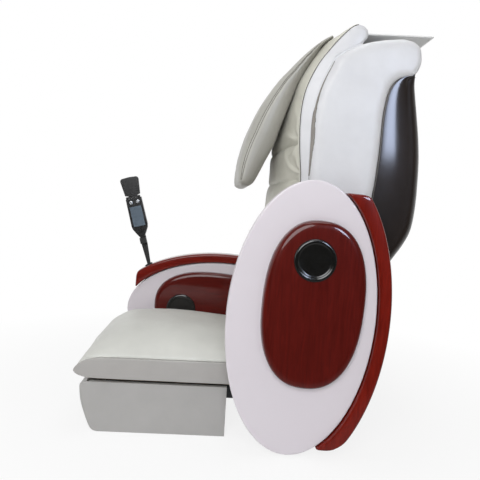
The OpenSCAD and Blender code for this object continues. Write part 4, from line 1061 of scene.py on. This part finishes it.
def head_cushion():
    """The flip-over head cushion, its sides drawn in to a crowned boxing."""
    steps, edge = 14, 46
    flat = HEAD_HALF_W - 2 - edge
    middle = [(flat * math.sin(math.pi / 2 * i / steps), 0) for i in range(-steps, steps + 1)]
    ends = [(flat + edge * rise, back) for back, rise in quarter(8)[1:]]
    stations = [(-x, back) for x, back in ends[::-1]] + middle + ends
    rings = [at_x(head_section(x / HEAD_HALF_W, back), x) for x, back in stations]
    # head_vinyl is the side vinyl made darker: painted shade on the head cushion.
    piece = loft("head_cushion_soft", rings, "head_vinyl", "head_cushion")
    low, high = HINGE_Z + 815, HINGE_Z + 850

    def freedom(p):
        return smoothstep(high, low, p[:, 2])

    swollen(piece, 5, 4, 3, freedom)
    p, n = points_of(piece), normals_of(piece)
    broad = noise_at(p[:, 0] / 60, (p[:, 2] + p[:, 1]) / 60, p[:, 2] / 200)
    p += n * (0.8 * broad * freedom(p))[:, None]
    to_edge = np.maximum(HEAD_HALF_W - np.abs(p[:, 0]), 0)
    pucker = noise_at((p[:, 2] * 0.8 + p[:, 1] * 0.5) / 22, to_edge / 110, p[:, 0] / 300)
    p += n * (0.5 * pucker * np.exp(-to_edge / 30) * freedom(p))[:, None]
    set_points(piece, p)
    padded_piece(piece, "head_cushion", "head_vinyl")
    head_seams(piece)


def anchor_flap():
    """The stiffened flap: leather wrapped over a thin board, tapering to the rear."""
    low, crest = HINGE_Z + 874 + SOFT_GAP, HINGE_Y + 129
    front = HEAD_HALF_W - 26
    middle = spaced(spline([HEAD_HINGE, (crest - 13, low + 0.8),
                            (crest - 1, low + FLAP_T / 2),
                            (FLAP_BACK, low + FLAP_RISE + FLAP_T / 2)], 12), 46)
    rings = []
    for k, (y, z) in enumerate(middle):
        half = np.interp(y, [crest + 30, FLAP_BACK], [front - 4, FLAP_HALF_W])
        thick = FLAP_T / 2 * (0.45 if k in (0, len(middle) - 1) else 1)
        r = thick * 0.95
        flat = np.linspace(half - r, -half + r, 24)[1:-1]
        edge = [(half - r + r * math.cos(a), y, z + thick * math.sin(a))
                for a in np.linspace(-math.pi / 2, math.pi / 2, 9)]
        rings.append(edge + [(x, y, z + thick) for x in flat]
                     + [(-x, yy, zz) for x, yy, zz in edge[::-1]]
                     + [(x, y, z - thick) for x in -flat])
    # The flap's lighter vinyl is painted light on its underside; it is the same leather as the
    # head cushion.
    piece = loft("anchor_flap_skin", rings, "flap_hide_lit", "back")
    padded_piece(piece, "anchor_flap", "head_vinyl")


# ---- rear shell ----


def back_shell():
    """The moulded tray: crowned side walls, a rounded rear and a lip under the bolsters."""
    half, corner, wall, crown = BACK_HALF_W - 8, 34, 5, 7
    rows, steps = 84, 8
    rear_line = np.vstack([SHELL_REAR[:-1], from_hinge(SHELL_TOP)])
    rear = spaced(spline(rear_line, steps), rows)
    lip = spline(BOLSTER_REAR, steps)[:steps * (len(SHELL_REAR) - 1) + 1]
    front = spaced(lip, rows) + (SOFT_GAP, 0)
    grid = []
    for f, r in zip(front, rear):
        depth = r - f
        length = np.linalg.norm(depth)
        away = depth / length
        bend = min(corner, length * 0.8)
        tuck = np.interp(r[1] - HINGE_Z, (480, 757), (1, 0.45))
        column = [(half, *(f - away * SHELL_TUCK))]
        for t in np.linspace(0, 1, 12)[:-1]:
            column.append((half - crown * t * t, *(f + away * (length - bend) * t)))
        for a in np.linspace(0, math.pi / 2, 12):
            reach = length - bend + bend * math.sin(a)
            column.append((half - crown - (corner + crown) * tuck * (1 - math.cos(a)),
                           *(f + away * reach)))
        edge = column[-1][0]
        for x in np.linspace(edge, 0, 16)[1:]:
            column.append((x, *r))
        mirrored = [(-x, y, z) for x, y, z in column[:-1]][::-1]
        grid.append(column + mirrored)
    piece = loft("back_shell_skin", grid, "shell_black", "back", closed=False)
    walled(piece, wall)
    baked(piece)
    stand_in(piece, "shell_black", "back_shell")


# ---- CAD nodes that stay ----


def finish_cad(frame):
    """Every CAD node that still shows takes the material of its slot in the record."""
    slots = {s["node"]: s["material_slot"] for s in frame["record"]["subparts"]}
    for name, node in frame["nodes"].items():
        if not node.hide_render:
            node.data.materials.clear()
            node.data.materials.append(MATERIALS[slots[name]])


# ---- floor, backdrop and light ----


FLOOR_HALF = 6.0
FADE_FROM_TO, FADE_SHARES = (0.5, 1.4), (0.84, 1.0)   # metres from the middle, share of white
GLOSS_DIM = 0.05
AMBIENT, AMBIENT_TONE = 0.3, (1.0, 0.99, 0.95, 1)
KEY_TONE, SKY_TONE = (0.965, 0.98, 1.0), (0.66, 0.76, 1.0)


def mixed(tree, factor, first, second):
    sources = dict(enumerate((factor, first, second)))
    return add_node(tree, "MixShader", None, sources).outputs[0]


def x_of(tree, output):
    """The X of the place or, in a world, of the ray's direction."""
    place = add_node(tree, "TexCoord").outputs[output]
    return add_node(tree, "SeparateXYZ", None, {0: place}).outputs["X"]


def ray_kinds(tree):
    """1 for the rays that gloss and glass send, and 1 for the camera's."""
    path = add_node(tree, "LightPath").outputs
    mirror = add_node(tree, "Math", None, {
        0: path["Is Glossy Ray"], 1: path["Is Transmission Ray"]}, operation="MAXIMUM")
    return mirror.outputs[0], path["Is Camera Ray"]


def make_floor():
    """A pale floor that fades to the camera's white, with the chair's own soft shadow."""
    half = FLOOR_HALF
    mesh = bpy.data.meshes.new("floor")
    mesh.from_pydata([(-half, -half, 0), (half, -half, 0), (half, half, 0),
                      (-half, half, 0)], [], [(0, 1, 2, 3)])
    floor = new_object("floor", mesh)
    floor.location.z = -0.0005
    look = Nodes("floor", base_color=(0.9, 0.9, 0.9, 1), roughness=0.7)
    tree, matt = look.tree, look.shader.outputs[0]
    glow = add_node(tree, "Emission", {"Strength": 1.0}).outputs[0]
    place = add_node(tree, "TexCoord").outputs["Object"]
    far = add_node(tree, "VectorMath", None, {0: place}, operation="LENGTH")
    fade = mapped(tree, far.outputs["Value"], *FADE_FROM_TO, *FADE_SHARES)
    dimmed = mapped(tree, x_of(tree, "Object"), -0.3, 0.9, 0.9, GLOSS_DIM)
    dim = add_node(tree, "Emission", None, {"Strength": dimmed}).outputs[0]
    mirror, camera = ray_kinds(tree)
    seen = mixed(tree, fade, matt, glow)
    other = mixed(tree, mirror, matt, dim)
    tree.links.new(mixed(tree, camera, other, seen),
                   tree.nodes["Material Output"].inputs["Surface"])
    mesh.materials.append(look.material)


def make_world():
    """White to the camera, a soft ambient to matt surfaces, and to glossy ones darker on
    the camera's side, as a studio is."""
    world = bpy.data.worlds.new("studio")
    bpy.context.scene.world = world
    world.use_nodes = True
    tree = world.node_tree
    soft = tree.nodes["Background"]
    soft.inputs["Color"].default_value = AMBIENT_TONE
    soft.inputs["Strength"].default_value = AMBIENT
    white = add_node(tree, "Background", {"Color": WHITE, "Strength": 1.0})
    dimmed = mapped(tree, x_of(tree, "Generated"), -0.35, 0.45, 1.0, GLOSS_DIM)
    gloss = add_node(tree, "Background", {"Color": WHITE}, {"Strength": dimmed})
    mirror, camera = ray_kinds(tree)
    other = mixed(tree, mirror, soft.outputs[0], gloss.outputs[0])
    tree.links.new(mixed(tree, camera, other, white.outputs[0]),
                   tree.nodes["World Output"].inputs["Surface"])


def add_lamp(name, at, aim, size, power, tone=(1, 1, 1), height=None):
    """A soft disc, or a strip where a height is given."""
    data = bpy.data.lights.new(name, "AREA")
    data.size, data.energy, data.color = size, power, tone
    data.shape = "DISK"
    if height:
        data.shape, data.size_y = "RECTANGLE", height
    lamp = new_object(name, data)
    lamp.location = at
    lamp.rotation_euler = (Vector(aim) - Vector(at)).to_track_quat("-Z", "Y").to_euler()
    return lamp


def light_studio():
    """A large key on the camera's side, two weak fills, and a strip that only gloss sees."""
    middle = (0, 0, 0.6)
    add_lamp("key", (2.55, -0.5, 1.75), middle, 1.9, 47, KEY_TONE)
    add_lamp("top", (0.25, 0.25, 2.8), middle, 1.4, 13, KEY_TONE)
    add_lamp("front", (0.7, -2.9, 1.3), middle, 1.6, 5)
    sheen = add_lamp("sheen", (2.4, 1.24, 1.38), (0.25, 0.35, 0.9), 0.4, 24, SKY_TONE, 0.75)
    sheen.visible_diffuse = False
    bpy.context.scene.view_settings.view_transform = "Standard"


# ---- the whole scene ----


def main():
    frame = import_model()
    make_camera()
    MATERIALS.update(make_materials())
    for side in (1, -1):
        dress_arm(side)
        side_bolster(side)
    dress_base()
    seat_cushion()
    top_bolster()
    back_pad()
    head_cushion()
    anchor_flap()
    back_shell()
    finish_cad(frame)
    make_floor()
    make_world()
    light_studio()


main()
